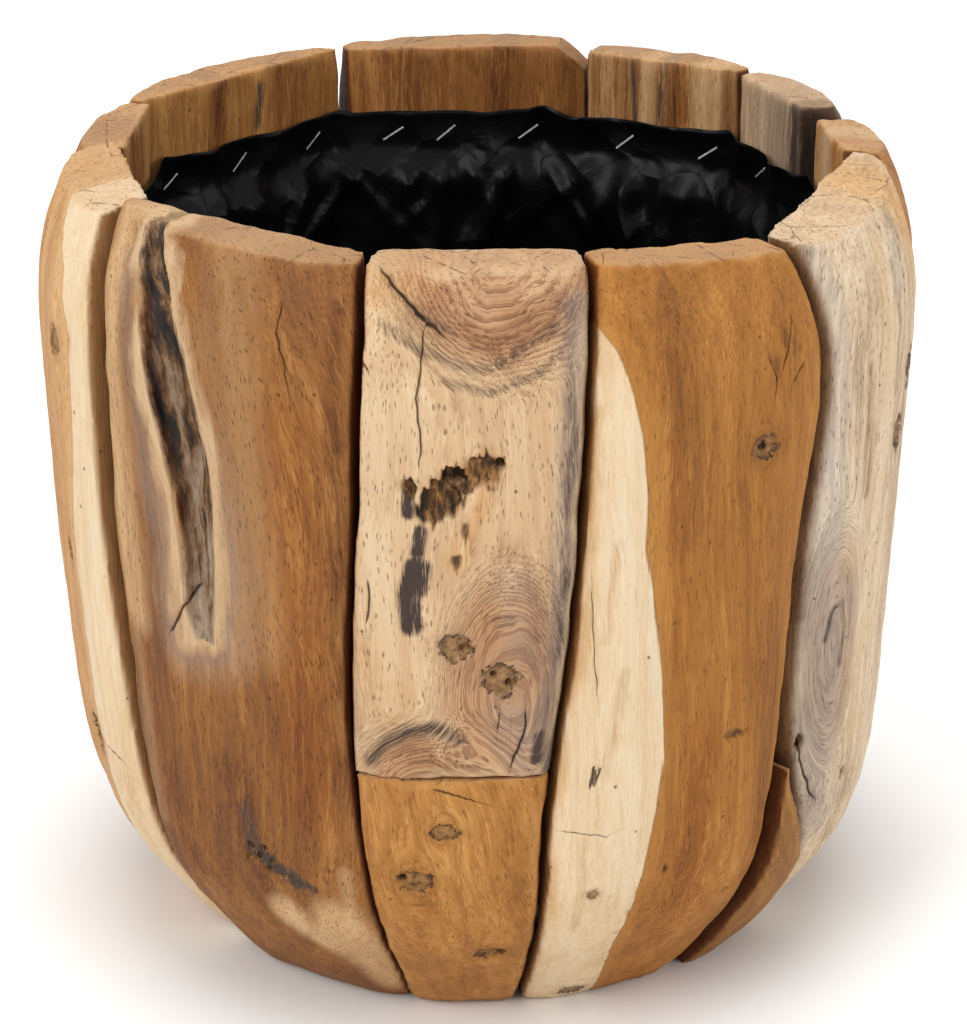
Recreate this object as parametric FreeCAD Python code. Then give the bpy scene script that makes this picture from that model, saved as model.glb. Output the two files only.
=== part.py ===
import FreeCAD, Part
import math
import os

# Round floor planter made of thick, irregular hardwood staves with open joints between them.
# Two bent steel hoops inside hold the ring together, one screw to each stave. A round board base
# wedges on the sloping seats cut at the foot of the staves, and a black film liner is stapled
# round the inside, a little below the rim.
# Millimetres and degrees. +Z is up and the origin is on the floor, at the middle of the ring.
# Angles run from the front, -Y, towards the right, +X.

# The ring of staves
height = 370.0
belly_radius = 200.0
belly_wall = 40.0
floor_ring_width = 27.0
stave_gap = 3.0
core_radius = 60.0
front_joint_height = 143.0
front_joint_gap = 0.3
filler_height = 118.0
dowel_radius = 4.0
dowel_length = 44.0
dowel_spacing = 42.0
filler_dowel_length = 32.0
filler_dowel_height = 27.0

# Base of three boards on two cleats
base_thickness = 18.0
base_height = 44.0
board_gap = 1.5
middle_board_width = 104.0
cleat_width = 42.0
cleat_thickness = 18.0
cleat_spacing = 124.0
cleat_end_room = 6.0

# Hoops, bent from flat bar to lie flat on every stave, the upper one below the film's edge
hoop_width = 25.0
hoop_thickness = 2.0
upper_hoop_drop = 58.0

# Wood screws, with the share of the belly wall that the hoop screws reach into
screw_radius = 2.0
screw_bite_share = 0.45
screw_head_radius = 4.0
screw_head_height = 2.4
cleat_screw_length = 30.0

# Film liner and its staples
film_thickness = 0.5
liner_top_height = 338.0
stapled_band = 20.0
liner_slope_height = 14.0
staple_crown = 12.8
staple_wire = 0.9
staple_leg = 8.0
staple_drop = 12.0

# Fits
seat_clearance = 0.15
hole_clearance = 0.05
overrun = 40.0

# Outer side of the ring: share of the height, share of the belly radius.
outer_profile_shares = (
    (-0.03, 0.640),
    (0.000, 0.696),
    (0.038, 0.761),
    (0.086, 0.825),
    (0.162, 0.912),
    (0.257, 0.958),
    (0.378, 0.973),
    (0.514, 0.983),
    (0.649, 0.991),
    (0.770, 1.000),
    (0.850, 1.000),
    (0.905, 0.985),
    (0.955, 0.955),
    (1.000, 0.915),
    (1.040, 0.868),
)

# Foot, middle and top, and the closer heights at which the joints between the staves are measured.
main_height_shares = (0.0, 0.5, 1.0)
joint_height_shares = (0.0, 0.12, 0.25, 0.37, 0.50, 0.62, 0.74, 0.83, 0.92, 1.0)

# Angle of each joint at those heights, from the joint left of the front stave, round to the right.
joint_angles = (
    (-12.8, -13.7, -15.2, -16.3, -16.6, -15.9, -15.2, -14.8, -14.7, -15.2),
    (7.2, 8.0, 8.5, 9.2, 11.0, 12.1, 12.7, 13.1, 13.8, 14.6),
    (41.5, 42.8, 43.9, 44.8, 45.6, 46.4, 48.2, 48.6, 46.8, 44.2),
    (78.0, 78.6, 79.6, 80.8, 82.0, 82.4, 82.0, 81.8, 82.6, 83.6),
    (105.0, 105.8, 107.0, 107.4, 107.0, 106.4, 106.6, 107.2, 107.7, 107.7),
    (131.0, 130.5, 130.9, 131.8, 132.9, 133.3, 133.0, 132.5, 132.2, 132.5),
    (159.6, 160.2, 161.1, 162.3, 162.6, 162.0, 161.3, 161.0, 161.2, 161.4),
    (201.8, 202.6, 204.0, 204.9, 204.7, 203.8, 203.1, 202.9, 203.1, 203.5),
    (248.4, 249.2, 250.3, 251.2, 250.6, 249.7, 249.1, 248.9, 249.1, 249.2),
    (269.0, 269.6, 270.8, 271.8, 272.4, 272.0, 271.2, 270.7, 270.8, 271.0),
    (309.0, 308.0, 307.0, 305.6, 304.1, 303.1, 303.2, 303.4, 302.0, 300.2),
)
# Width of each joint at the foot, the middle and the top, as shares of the usual gap.
joint_gap_shares = (
    (0.6, 0.6, 1.3),
    (1.2, 0.7, 1.0),
    (1.0, 1.4, 0.8),
    (1.0, 1.0, 1.2),
    (1.2, 3.0, 5.4),
    (1.0, 0.8, 1.0),
    (1.0, 1.2, 1.5),
    (1.0, 1.0, 1.2),
    (1.0, 1.0, 1.2),
    (1.0, 0.9, 1.2),
    (1.2, 1.3, 1.4),
)
# The short filler beside the right front stave takes a wedge out of that stave's foot.
filler_joint_angles = (60.0, 55.5, 48.8, 45.8, 45.6, 46.4, 48.2, 48.6, 46.8, 44.2)
# Angle that each stave's flat inner face looks at the axis from.
face_angles = (0.0, 29.0, 65.0, 96.0, 112.0, 154.0, 183.0, 227.3, 264.5, 285.5, 324.0)

# Each stave, from the front round to the right. Shares of the belly wall: how far it stands proud at
# the foot, the middle and the top, how far its left and right edges drop back, and its rounded left and
# right corners. The top is a share of the height, and the tilts of the sawn top are in degrees.
stave_names = (
    "stave_front",
    "stave_front_right",
    "stave_right_front",
    "stave_right",
    "stave_right_back",
    "stave_back_right",
    "stave_back",
    "stave_back_left",
    "stave_left_back",
    "stave_left",
    "stave_front_left",
)
proud_shares = {
    "stave_front": (0.02, 0.03, 0.03),
    "stave_front_right": (0.0, -0.01, -0.02),
    "stave_right_front": (0.08, 0.07, 0.10),
    "stave_right": (0.0, -0.02, -0.03),
    "stave_right_back": (0.02, 0.04, 0.02),
    "stave_back_right": (0.0, -0.03, 0.0),
    "stave_back": (0.02, 0.03, 0.04),
    "stave_back_left": (0.0, 0.0, -0.02),
    "stave_left_back": (0.0, 0.03, -0.05),
    "stave_left": (-0.12, 0.05, 0.05),
    "stave_front_left": (-0.03, -0.01, -0.03),
    "filler_right": (0.10, 0.02, 0.02),
}
edge_drop_shares = {
    "stave_front": (0.02, 0.04),
    "stave_front_right": (0.03, 0.05),
    "stave_right_front": (0.05, 0.12),
    "stave_right": (0.05, 0.08),
    "stave_right_back": (0.10, 0.05),
    "stave_back_right": (0.05, 0.08),
    "stave_back": (0.08, 0.06),
    "stave_back_left": (0.10, 0.08),
    "stave_left_back": (0.03, 0.06),
    "stave_left": (0.06, 0.02),
    "stave_front_left": (0.05, 0.02),
    "filler_right": (0.02, 0.02),
}
corner_shares = {
    "stave_front": (0.08, 0.14),
    "stave_front_right": (0.10, 0.14),
    "stave_right_front": (0.34, 0.34),
    "stave_right": (0.18, 0.22),
    "stave_right_back": (0.24, 0.14),
    "stave_back_right": (0.12, 0.18),
    "stave_back": (0.16, 0.22),
    "stave_back_left": (0.14, 0.24),
    "stave_left_back": (0.20, 0.18),
    "stave_left": (0.24, 0.12),
    "stave_front_left": (0.14, 0.08),
    "filler_right": (0.06, 0.06),
}
top_shares = {
    "stave_front": 0.999,
    "stave_front_right": 0.985,
    "stave_right_front": 0.990,
    "stave_right": 0.994,
    "stave_right_back": 0.996,
    "stave_back_right": 0.998,
    "stave_back": 1.0,
    "stave_back_left": 0.998,
    "stave_left_back": 0.992,
    "stave_left": 0.996,
    "stave_front_left": 0.998,
}
# Slope of the sawn top: outwards, then towards the next stave.
top_tilts = {
    "stave_front": (4.0, 0.0),
    "stave_front_right": (0.0, 5.0),
    "stave_right_front": (6.0, -4.0),
    "stave_right": (5.0, 3.0),
    "stave_right_back": (2.0, 0.0),
    "stave_back_right": (1.0, 0.0),
    "stave_back": (0.0, 0.5),
    "stave_back_left": (1.0, 0.5),
    "stave_left_back": (4.0, 4.0),
    "stave_left": (11.0, 1.0),
    "stave_front_left": (4.0, 0.5),
}
front_joint_tilt = 1.0

# Heights of the cross-sections that a stave is lofted through.
section_height_shares = (
    -0.03, 0.0, 0.04, 0.09, 0.16, 0.25, 0.37, 0.50, 0.63, 0.75, 0.84, 0.90, 0.955, 1.0, 1.04,
)
filler_section_height_shares = (-0.03, 0.0, 0.04, 0.09, 0.16, 0.25, 0.34)
corner_diagonal_share = 1.0 - math.sqrt(0.5)

# Angles of the staples on each stave's inner face, from the middle of that face, and how they lean.
staple_angles = {
    "stave_front": (-8.0, 7.0),
    "stave_front_right": (-9.0, 8.0),
    "stave_right_front": (-12.0, 1.0, 11.0),
    "stave_right": (-6.0, 5.0),
    "stave_right_back": (11.0,),
    "stave_back_right": (-16.5, -1.0),
    "stave_back": (-11.5, 3.2, 12.5),
    "stave_back_left": (-17.0, 0.5, 16.5),
    "stave_left_back": (0.5,),
    "stave_left": (-7.0, 6.0),
    "stave_front_left": (-14.0, 1.0, 13.0),
}
staple_leans = (36.0, 40.0, 33.0)

# Flat top and straight side of a pan head, as shares of its radius and height.
head_top_share = 0.55
head_side_share = 0.45

# Bark pocket in the front left stave: share of the height, angle of its middle, and its half width and
# depth as shares of the belly wall.
bark_pocket_shares = (
    (0.50, -37.0, 0.05, 0.03),
    (0.55, -37.6, 0.15, 0.10),
    (0.62, -37.5, 0.20, 0.16),
    (0.70, -38.1, 0.25, 0.20),
    (0.78, -39.8, 0.28, 0.21),
    (0.86, -42.0, 0.25, 0.18),
    (0.93, -44.6, 0.18, 0.13),
    (1.00, -48.0, 0.09, 0.07),
    (1.03, -49.5, 0.06, 0.05),
)
# Corner broken off the top of the back stave: its width and drop as shares of the belly wall.
chip_shares = (0.42, 0.36)

# Values that follow from the sizes above
inner_apothem = belly_radius - belly_wall
base_top = base_height + base_thickness
lower_hoop_height = base_top + seat_clearance
floor_outer_radius = belly_radius * dict(outer_profile_shares)[0.0]
floor_inner_apothem = floor_outer_radius - floor_ring_width
hoop_inner_apothem = inner_apothem - seat_clearance - hoop_thickness
upper_hoop_height = liner_top_height - upper_hoop_drop
screw_length = hoop_thickness + seat_clearance + belly_wall * screw_bite_share
whole = 2 * (belly_radius + height)


def direction(angle):
    """Unit vector that points out of the ring at an angle from the front."""
    return FreeCAD.Vector(math.sin(math.radians(angle)), -math.cos(math.radians(angle)), 0)


def across(angle):
    """Unit vector along the ring towards growing angles."""
    return FreeCAD.Vector(math.cos(math.radians(angle)), math.sin(math.radians(angle)), 0)


def up(z):
    return FreeCAD.Vector(0, 0, z)


def smooth(places, values, at):
    """Value at a place on a smooth curve through a table, with slopes from the neighbours."""
    last = len(places) - 1
    slopes = []
    for i in range(last + 1):
        low, high = max(i - 1, 0), min(i + 1, last)
        slopes.append((values[high] - values[low]) / (places[high] - places[low]))
    i = 0
    while i < last - 1 and at > places[i + 1]:
        i += 1
    span = places[i + 1] - places[i]
    t = (at - places[i]) / span
    rise = values[i + 1] - values[i]
    start, end = slopes[i] * span, slopes[i + 1] * span
    return values[i] + t * (start + t * (3 * rise - 2 * start - end + t * (start + end - 2 * rise)))


def outer_radius(share):
    places, radii = zip(*outer_profile_shares)
    return belly_radius * smooth(places, radii, share)


def seat_apothem(z):
    """Distance of the sloping seats at the foot of the staves from the axis."""
    return floor_inner_apothem + (inner_apothem - floor_inner_apothem) * z / base_top


def joint(number):
    """Angles and gap shares of the joint before a stave, counted on round the ring."""
    turns, number = divmod(number, len(joint_angles))
    return [angle + 360 * turns for angle in joint_angles[number]], joint_gap_shares[number]


def half_gap_angle(gap_shares, share):
    """Angle from the middle of a joint to the wood beside it."""
    return math.degrees(stave_gap / 2 / belly_radius) * smooth(main_height_shares, gap_shares, share)


def face_radius(name, share):
    """Radius of the middle of a stave's outer face at one height."""
    return outer_radius(share) + belly_wall * smooth(main_height_shares, proud_shares[name], share)


def corner_points(name, side, angle, narrowing, share):
    """Three points round one outer corner of a stave, from its side to its face."""
    inward = 1 if side == 0 else -1
    radius = face_radius(name, share) - belly_wall * edge_drop_shares[name][side]
    corner = belly_wall * corner_shares[name][side] * narrowing
    diagonal = corner * corner_diagonal_share
    points = []
    for along, depth in ((0, corner), (diagonal, diagonal), (corner, 0)):
        turned = angle + inward * math.degrees(along / radius)
        points.append(direction(turned) * (radius - depth) + up(height * share))
    return points


def outer_points(name, left, right, narrowing, share):
    """Points across the outer face of a stave at one height, from its left side to its right."""
    left_corner = corner_points(name, 0, left, narrowing, share)
    right_corner = corner_points(name, 1, right, narrowing, share)
    crown = direction((left + right) / 2) * face_radius(name, share) + up(height * share)
    return left_corner + [crown] + right_corner[::-1]


def lengths_along(points):
    """Distance of each point along their chain, as a share of its length."""
    reached = [0]
    for start, end in zip(points, points[1:]):
        reached.append(reached[-1] + (end - start).Length)
    return [distance / reached[-1] for distance in reached]


def section(points, parameters, left, right):
    """Cross-section of a stave's envelope: rounded outer curve, two radial sides and a core line."""
    curve = Part.BSplineCurve()
    curve.interpolate(Points=points, Parameters=parameters)
    core_left = direction(left) * core_radius + up(points[0].z)
    core_right = direction(right) * core_radius + up(points[0].z)
    return Part.Wire([
        curve.toShape(),
        Part.LineSegment(points[-1], core_right).toShape(),
        Part.LineSegment(core_right, core_left).toShape(),
        Part.LineSegment(core_left, points[0]).toShape(),
    ])


def envelope(name, left_joint, right_joint, height_shares):
    """Sector of the ring that a stave fills, before its inner side and ends are sawn."""
    middle = len(height_shares) // 2
    sides = []
    for share in height_shares:
        left = smooth(joint_height_shares, left_joint[0], share) + half_gap_angle(left_joint[1], share)
        right = smooth(joint_height_shares, right_joint[0], share) - half_gap_angle(right_joint[1], share)
        sides.append((left, right, (right - left) * face_radius(name, share)))
    rows = []
    for share, (left, right, width) in zip(height_shares, sides):
        rows.append(outer_points(name, left, right, width / sides[middle][2], share))
    parameters = lengths_along(rows[middle])
    sections = [section(row, parameters, left, right) for row, (left, right, _) in zip(rows, sides)]
    return Part.makeLoft(sections, True)


def half_space(origin, normal):
    """Block, larger than the planter, on the side of a plane that its normal points to."""
    block = Part.makeBox(whole, whole, whole, FreeCAD.Vector(-whole / 2, -whole / 2, 0))
    block.Placement = FreeCAD.Placement(origin, FreeCAD.Rotation(up(1), normal))
    return block


def inner_side(angle):
    """What the saw takes off a stave's inner side: a flat face, and below it a sloping seat."""
    seat_slope = (inner_apothem - floor_inner_apothem) / base_top
    low_apothem = floor_inner_apothem - seat_slope * overrun
    outline = (
        (0, -overrun),
        (low_apothem, -overrun),
        (inner_apothem, base_top),
        (inner_apothem, height + overrun),
        (0, height + overrun),
    )
    corners = [direction(angle) * r + up(z) - across(angle) * belly_radius for r, z in outline]
    return Part.Face(Part.makePolygon(corners + corners[:1])).extrude(across(angle) * 2 * belly_radius)


def top_cut(name, angle):
    """What the saw takes off a stave's top, along its own sloping plane."""
    outwards, sideways = top_tilts[name]
    normal = up(1) + direction(angle) * math.tan(math.radians(outwards))
    normal += across(angle) * math.tan(math.radians(sideways))
    return half_space(direction(angle) * inner_apothem + up(height * top_shares[name]), normal)


def below_floor():
    return half_space(FreeCAD.Vector(), up(-1))


def sawn(body, angle):
    return body.cut(inner_side(angle)).cut(below_floor())


def screw(place, axis, length):
    """Pan-head wood screw, revolved. The place is under its head and the axis points into the wood."""
    point_length = 2 * screw_radius
    half_profile = (
        (0, -screw_head_height),
        (screw_head_radius * head_top_share, -screw_head_height),
        (screw_head_radius, -screw_head_height * head_side_share),
        (screw_head_radius, 0),
        (screw_radius, 0),
        (screw_radius, length - point_length),
        (0, length),
    )
    corners = [FreeCAD.Vector(r, 0, z) for r, z in half_profile]
    body = Part.Face(Part.makePolygon(corners + corners[:1])).revolve(FreeCAD.Vector(), up(1), 360)
    body.Placement = FreeCAD.Placement(place, FreeCAD.Rotation(up(1), axis))
    return body


def pilot_hole(place, axis, length):
    return Part.makeCylinder(screw_radius + hole_clearance, length + 2 * hole_clearance, place, axis)


def dowel_places(angle, z):
    """Middles of a joint's two dowels, in the thickness of the stave."""
    middle = (inner_apothem + outer_radius(z / height)) / 2
    return [direction(angle) * middle + across(angle) * side * dowel_spacing / 2 + up(z) for side in (-1, 1)]


def ring_polygon(apothem, z):
    """Closed outline that lies flat on every stave's inner face at a distance from the axis."""
    corners = []
    for i, angle in enumerate(face_angles):
        after = face_angles[i + 1] if i + 1 < len(face_angles) else face_angles[0] + 360
        reach = apothem / math.cos(math.radians((after - angle) / 2))
        corners.append(direction((angle + after) / 2) * reach + up(z))
    return Part.makePolygon(corners + corners[:1])


def hoop(z):
    """Flat bar bent to the inner faces of the staves, with a screw hole at each."""
    outer = Part.Face(ring_polygon(inner_apothem - seat_clearance, z)).extrude(up(hoop_width))
    inner = Part.Face(ring_polygon(hoop_inner_apothem, z)).extrude(up(hoop_width))
    band = outer.cut(inner)
    holes = []
    for place, axis in hoop_screw_places(z):
        holes.append(pilot_hole(place - axis * overrun, axis, hoop_thickness + 2 * overrun))
    return band.cut(holes)


def hoop_screw_places(z):
    """Where each screw's head seats on a hoop and which way it points, one to a stave."""
    places = []
    for angle in face_angles:
        places.append((direction(angle) * hoop_inner_apothem + up(z + hoop_width / 2), direction(angle)))
    return places


def staves():
    """Every stave of the ring, and the two short pieces at its foot, by name."""
    made = {}
    for i, name in enumerate(stave_names):
        left = filler_joint() if name == "stave_right_front" else joint(i)
        body = sawn(envelope(name, left, joint(i + 1), section_height_shares), face_angles[i])
        body = body.cut(top_cut(name, face_angles[i]))
        holes = [pilot_hole(place, axis, screw_length) for place, axis in screws_into(i)]
        made[name] = body.cut(holes + staple_slots(i))
    made["stave_front_left"] = made["stave_front_left"].cut(bark_pocket())
    made["stave_back"] = made["stave_back"].cut(broken_corner())
    made["stave_right_front"] = made["stave_right_front"].cut(filler_dowel(hole_clearance))
    split_front(made)
    made["filler_right"] = filler()
    return made


def screws_into(number):
    """Both hoop screws of one stave."""
    return [hoop_screw_places(z)[number] for z in (lower_hoop_height, upper_hoop_height)]


def bark_pocket():
    """Long hollow where bark grew into the wood, lofted from circles that dip into the outer face."""
    rings = []
    for share, angle, half_width_share, depth_share in bark_pocket_shares:
        half_width, depth = belly_wall * half_width_share, belly_wall * depth_share
        radius = (half_width ** 2 + depth ** 2) / (2 * depth)
        middle = face_radius("stave_front_left", share) - depth + radius
        ring = Part.Circle(direction(angle) * middle + up(height * share), up(1), radius)
        rings.append(Part.Wire(ring.toShape()))
    return Part.makeLoft(rings, True)


def broken_corner():
    """What is missing from the top right corner of the back stave, as it is seen from the front."""
    number = stave_names.index("stave_back")
    width, drop = (belly_wall * share for share in chip_shares)
    edge = joint_angles[number][-1]
    corner = direction(edge) * inner_apothem + up(height * top_shares["stave_back"])
    normal = across(edge) * -drop + up(width)
    return half_space(corner - up(drop), normal)


def split_front(made):
    """The front stave is pieced: a long upper slab, dowelled to a short foot."""
    angle = face_angles[0]
    origin = direction(angle) * inner_apothem + up(front_joint_height)
    normal = up(1) - across(angle) * math.tan(math.radians(front_joint_tilt))
    holes = [
        Part.makeCylinder(dowel_radius + hole_clearance, dowel_length + 2 * hole_clearance,
                          place - up(dowel_length / 2 + hole_clearance))
        for place in dowel_places(angle, front_joint_height)
    ]
    slab = made["stave_front"]
    made["stave_front"] = slab.cut(half_space(origin, normal * -1)).cut(holes)
    below = origin - up(front_joint_gap)
    made["stave_front_foot"] = slab.cut(half_space(below, normal)).cut(holes)


def filler_joint():
    """Joint between the filler and the right front stave."""
    return filler_joint_angles, joint_gap_shares[stave_names.index("stave_right_front")]


def filler():
    """Short wedge that fills the foot of the joint left of the right front stave."""
    number = stave_names.index("stave_right_front")
    body = envelope("filler_right", joint(number), filler_joint(), filler_section_height_shares)
    body = sawn(body, face_angles[number]).cut(half_space(up(filler_height), up(1)))
    return body.cut(filler_dowel(hole_clearance))


def filler_dowel(clearance):
    """Dowel across the joint at the foot of the filler, or with a clearance the hole for it."""
    share = filler_dowel_height / height
    angle = smooth(joint_height_shares, filler_joint_angles, share)
    radius = (seat_apothem(filler_dowel_height) + outer_radius(share)) / 2
    start = direction(angle) * radius + up(filler_dowel_height)
    start -= across(angle) * (filler_dowel_length / 2 + clearance)
    length = filler_dowel_length + 2 * clearance
    return Part.makeCylinder(dowel_radius + clearance, length, start, across(angle))


def front_dowels():
    return Part.makeCompound([
        Part.makeCylinder(dowel_radius, dowel_length, place - up(dowel_length / 2))
        for place in dowel_places(face_angles[0], front_joint_height)
    ])


def base_boards():
    """Round base with a bevelled edge that wedges on the seats, sawn from three boards."""
    low = seat_apothem(base_height) - seat_clearance
    high = seat_apothem(base_top) - seat_clearance
    disc = Part.makeCone(low, high, base_thickness, up(base_height))
    reach = belly_radius
    side = middle_board_width / 2
    made = {}
    for name, start, end in (
        ("base_board_left", -reach, -side - board_gap),
        ("base_board_middle", -side, side),
        ("base_board_right", side + board_gap, reach),
    ):
        corner = FreeCAD.Vector(start, -reach, base_height)
        plank = Part.makeBox(end - start, 2 * reach, base_thickness, corner)
        made[name] = disc.common(plank).cut(cleat_screw_holes())
    return made


def cleat_half_length():
    """Half of a cleat's length, so that its lower corners clear the seats."""
    far_edge = (cleat_spacing + cleat_width) / 2
    radius = seat_apothem(base_height - cleat_thickness) - cleat_end_room
    return math.sqrt(radius ** 2 - far_edge ** 2)


def base_cleats():
    """Two battens across the underside of the boards."""
    made = {}
    half = cleat_half_length()
    for name, side in (("base_cleat_front", -1), ("base_cleat_back", 1)):
        front_edge = (side * cleat_spacing - cleat_width) / 2
        corner = FreeCAD.Vector(-half, front_edge, base_height - cleat_thickness)
        made[name] = Part.makeBox(2 * half, cleat_width, cleat_thickness, corner).cut(cleat_screw_holes())
    return made


def cleat_screw_places():
    """Heads under the cleats, one screw up into each board at each cleat."""
    board_middle = (middle_board_width / 2 + cleat_half_length()) / 2
    z = base_height - cleat_thickness
    return [
        (FreeCAD.Vector(x, y, z), up(1))
        for y in (-cleat_spacing / 2, cleat_spacing / 2)
        for x in (-board_middle, 0, board_middle)
    ]


def cleat_screw_holes():
    return [pilot_hole(place, axis, cleat_screw_length) for place, axis in cleat_screw_places()]


def liner_levels():
    """Heights and distances from the axis of the film's outer side, from its floor to its top edge."""
    hoop_side = hoop_inner_apothem - screw_head_height - 2 * seat_clearance
    stapled_side = inner_apothem - seat_clearance
    band_low = liner_top_height - stapled_band
    return (
        (base_top + seat_clearance, hoop_side),
        (band_low - liner_slope_height, hoop_side),
        (band_low, stapled_side),
        (liner_top_height, stapled_side),
    )


def liner():
    """Film bag that follows the flat faces of the staves, open at the top."""
    levels = liner_levels()
    outside = Part.makeLoft([ring_polygon(a, z) for z, a in levels], True, True)
    raised = [(levels[0][0] + film_thickness, levels[0][1])] + list(levels[1:-1])
    raised.append((liner_top_height + overrun, levels[-1][1]))
    inside = Part.makeLoft([ring_polygon(a - film_thickness, z) for z, a in raised], True, True)
    slots = [slot for i in range(len(stave_names)) for slot in staple_slots(i)]
    return outside.cut(inside).cut(slots)


def staple_places(number):
    """Place, facing angle and lean of each staple on one stave."""
    name, angle = stave_names[number], face_angles[number]
    crown_side = inner_apothem - seat_clearance - film_thickness - staple_wire
    places = []
    for turn, lean in zip(staple_angles[name], staple_leans):
        offset = inner_apothem * math.tan(math.radians(turn))
        place = direction(angle) * crown_side + across(angle) * offset
        places.append((place + up(liner_top_height - staple_drop), angle, lean))
    return places


def on_face(shape, place, angle, lean):
    """Moves a staple, or its slots, from the drawing plane to its place on an inner face."""
    square = FreeCAD.Rotation(across(angle) * -1, direction(angle), up(1), "ZYX")
    leaned = FreeCAD.Rotation(FreeCAD.Vector(0, 1, 0), -lean)
    shape.Placement = FreeCAD.Placement(place, square.multiply(leaned))
    return shape


def staple(place, angle, lean):
    """Wire staple with its crown flat on the film and its legs in the stave."""
    outer = staple_crown / 2
    bend = staple_wire / 2
    tip = staple_leg + staple_wire
    half_outline = (
        (outer - bend, 0),
        (outer, bend),
        (outer, tip),
        (outer - staple_wire, tip),
        (outer - staple_wire, staple_wire),
    )
    outline = list(half_outline) + [(-x, y) for x, y in half_outline[::-1]]
    corners = [FreeCAD.Vector(x, y, -staple_wire / 2) for x, y in outline]
    wire = Part.Face(Part.makePolygon(corners + corners[:1])).extrude(up(staple_wire))
    return on_face(wire, place, angle, lean)


def staple_slots(number):
    """Slots that the legs of one stave's staples make in the film and the wood."""
    side = staple_wire + 2 * hole_clearance
    length = staple_wire + staple_leg + hole_clearance
    slots = []
    for place, angle, lean in staple_places(number):
        for middle in (-(staple_crown - staple_wire) / 2, (staple_crown - staple_wire) / 2):
            slot = Part.makeBox(side, length, side, FreeCAD.Vector(middle - side / 2, 0, -side / 2))
            slots.append(on_face(slot, place, angle, lean))
    return slots


def staples():
    """All staples, in a row near the top edge of the film."""
    return Part.makeCompound([staple(*spot) for i in range(len(stave_names)) for spot in staple_places(i)])


def hoop_screws(z):
    return Part.makeCompound([screw(place, axis, screw_length) for place, axis in hoop_screw_places(z)])


def parts():
    """Every sub-part by its node's name."""
    made = staves()
    made["front_stave_dowels"] = front_dowels()
    made["filler_dowel"] = filler_dowel(0)
    made.update(base_boards())
    made.update(base_cleats())
    made["base_cleat_screws"] = Part.makeCompound(
        [screw(place, axis, cleat_screw_length) for place, axis in cleat_screw_places()])
    made["lower_hoop"] = hoop(lower_hoop_height)
    made["upper_hoop"] = hoop(upper_hoop_height)
    made["lower_hoop_screws"] = hoop_screws(lower_hoop_height)
    made["upper_hoop_screws"] = hoop_screws(upper_hoop_height)
    made["liner"] = liner()
    made["liner_staples"] = staples()
    return made


os.makedirs("parts", exist_ok=True)
for node, shape in parts().items():
    shape.exportStep(os.path.join("parts", node + ".step"))
    box = shape.optimalBoundingBox(False)
    size = f"{box.XLength:6.1f} x {box.YLength:6.1f} x {box.ZLength:6.1f} mm"
    print(f"{node:20s} {size}  solids {len(shape.Solids):2d}  valid {shape.isValid()}")
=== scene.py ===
# %% [markdown]
# # A planter of old hardwood slabs
# A ring of thick, irregular slabs stands round a black film liner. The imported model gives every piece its
# place and size. This lesson dresses it: it carves knots, cracks and bark into the slabs, paints the
# grain, crumples the film and lights the result. Lengths in the tables are millimetres and angles are
# degrees from the front, towards the right.

# %% Load the frame
import math
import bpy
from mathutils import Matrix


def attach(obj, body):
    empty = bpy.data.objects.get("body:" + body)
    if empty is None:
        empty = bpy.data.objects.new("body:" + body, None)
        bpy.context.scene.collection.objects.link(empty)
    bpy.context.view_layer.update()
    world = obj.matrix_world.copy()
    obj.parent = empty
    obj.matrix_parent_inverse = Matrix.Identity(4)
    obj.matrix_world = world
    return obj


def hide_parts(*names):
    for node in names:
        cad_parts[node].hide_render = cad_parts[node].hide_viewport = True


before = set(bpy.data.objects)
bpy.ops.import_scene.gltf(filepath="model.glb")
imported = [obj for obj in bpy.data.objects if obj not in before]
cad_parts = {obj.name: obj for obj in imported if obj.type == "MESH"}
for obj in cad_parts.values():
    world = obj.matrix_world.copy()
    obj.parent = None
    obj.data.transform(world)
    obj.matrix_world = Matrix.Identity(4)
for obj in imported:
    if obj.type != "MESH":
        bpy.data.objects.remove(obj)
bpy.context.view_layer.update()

from types import SimpleNamespace

import bpy
import numpy as np
from mathutils import Vector, noise

mm = 0.001

# %% [markdown]
# ## The camera
# A long lens from a step away keeps the sides of the barrel nearly parallel. The camera is level from side
# to side and looks down on the rim, so that the liner shows.

# %% Camera
image_width, image_height = 967, 1024
focal_pixels = 3297
axis_pixel = 480
camera_elevation = math.radians(22.7)
camera_distance = 1.568
target_height = 0.185
sensor_width = 36.0

side_step = (image_width / 2 - axis_pixel) * camera_distance / focal_pixels
camera_place = (
    side_step,
    -camera_distance * math.cos(camera_elevation),
    target_height + camera_distance * math.sin(camera_elevation),
)
bpy.ops.object.camera_add(location=camera_place, rotation=(math.pi / 2 - camera_elevation, 0, 0))
camera = bpy.context.object
camera.data.sensor_width = sensor_width
camera.data.lens = sensor_width * focal_pixels / image_height
bpy.context.scene.camera = camera
print("camera lens", round(camera.data.lens, 1), "mm")

# %% [markdown]
# ## Small tools
# One function keeps only a piece selected, because operators act on all that is selected. One adds a
# modifier and applies it, and one merges doubled vertices. One turns a hex colour into the linear values
# that shaders use, and one adds a shader node with its settings and links. A node's inputs go by name or
# number: a Map Range node has its value at 0, the range it comes from at 1 and 2 and the range it goes to
# at 3 and 4, and a colour mix has its share at 0 and its two colours at 6 and 7.


# %% Helpers
def only(piece):
    """Selects a piece alone and makes it active."""
    bpy.ops.object.select_all(action="DESELECT")
    piece.select_set(True)
    bpy.context.view_layer.objects.active = piece


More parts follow.
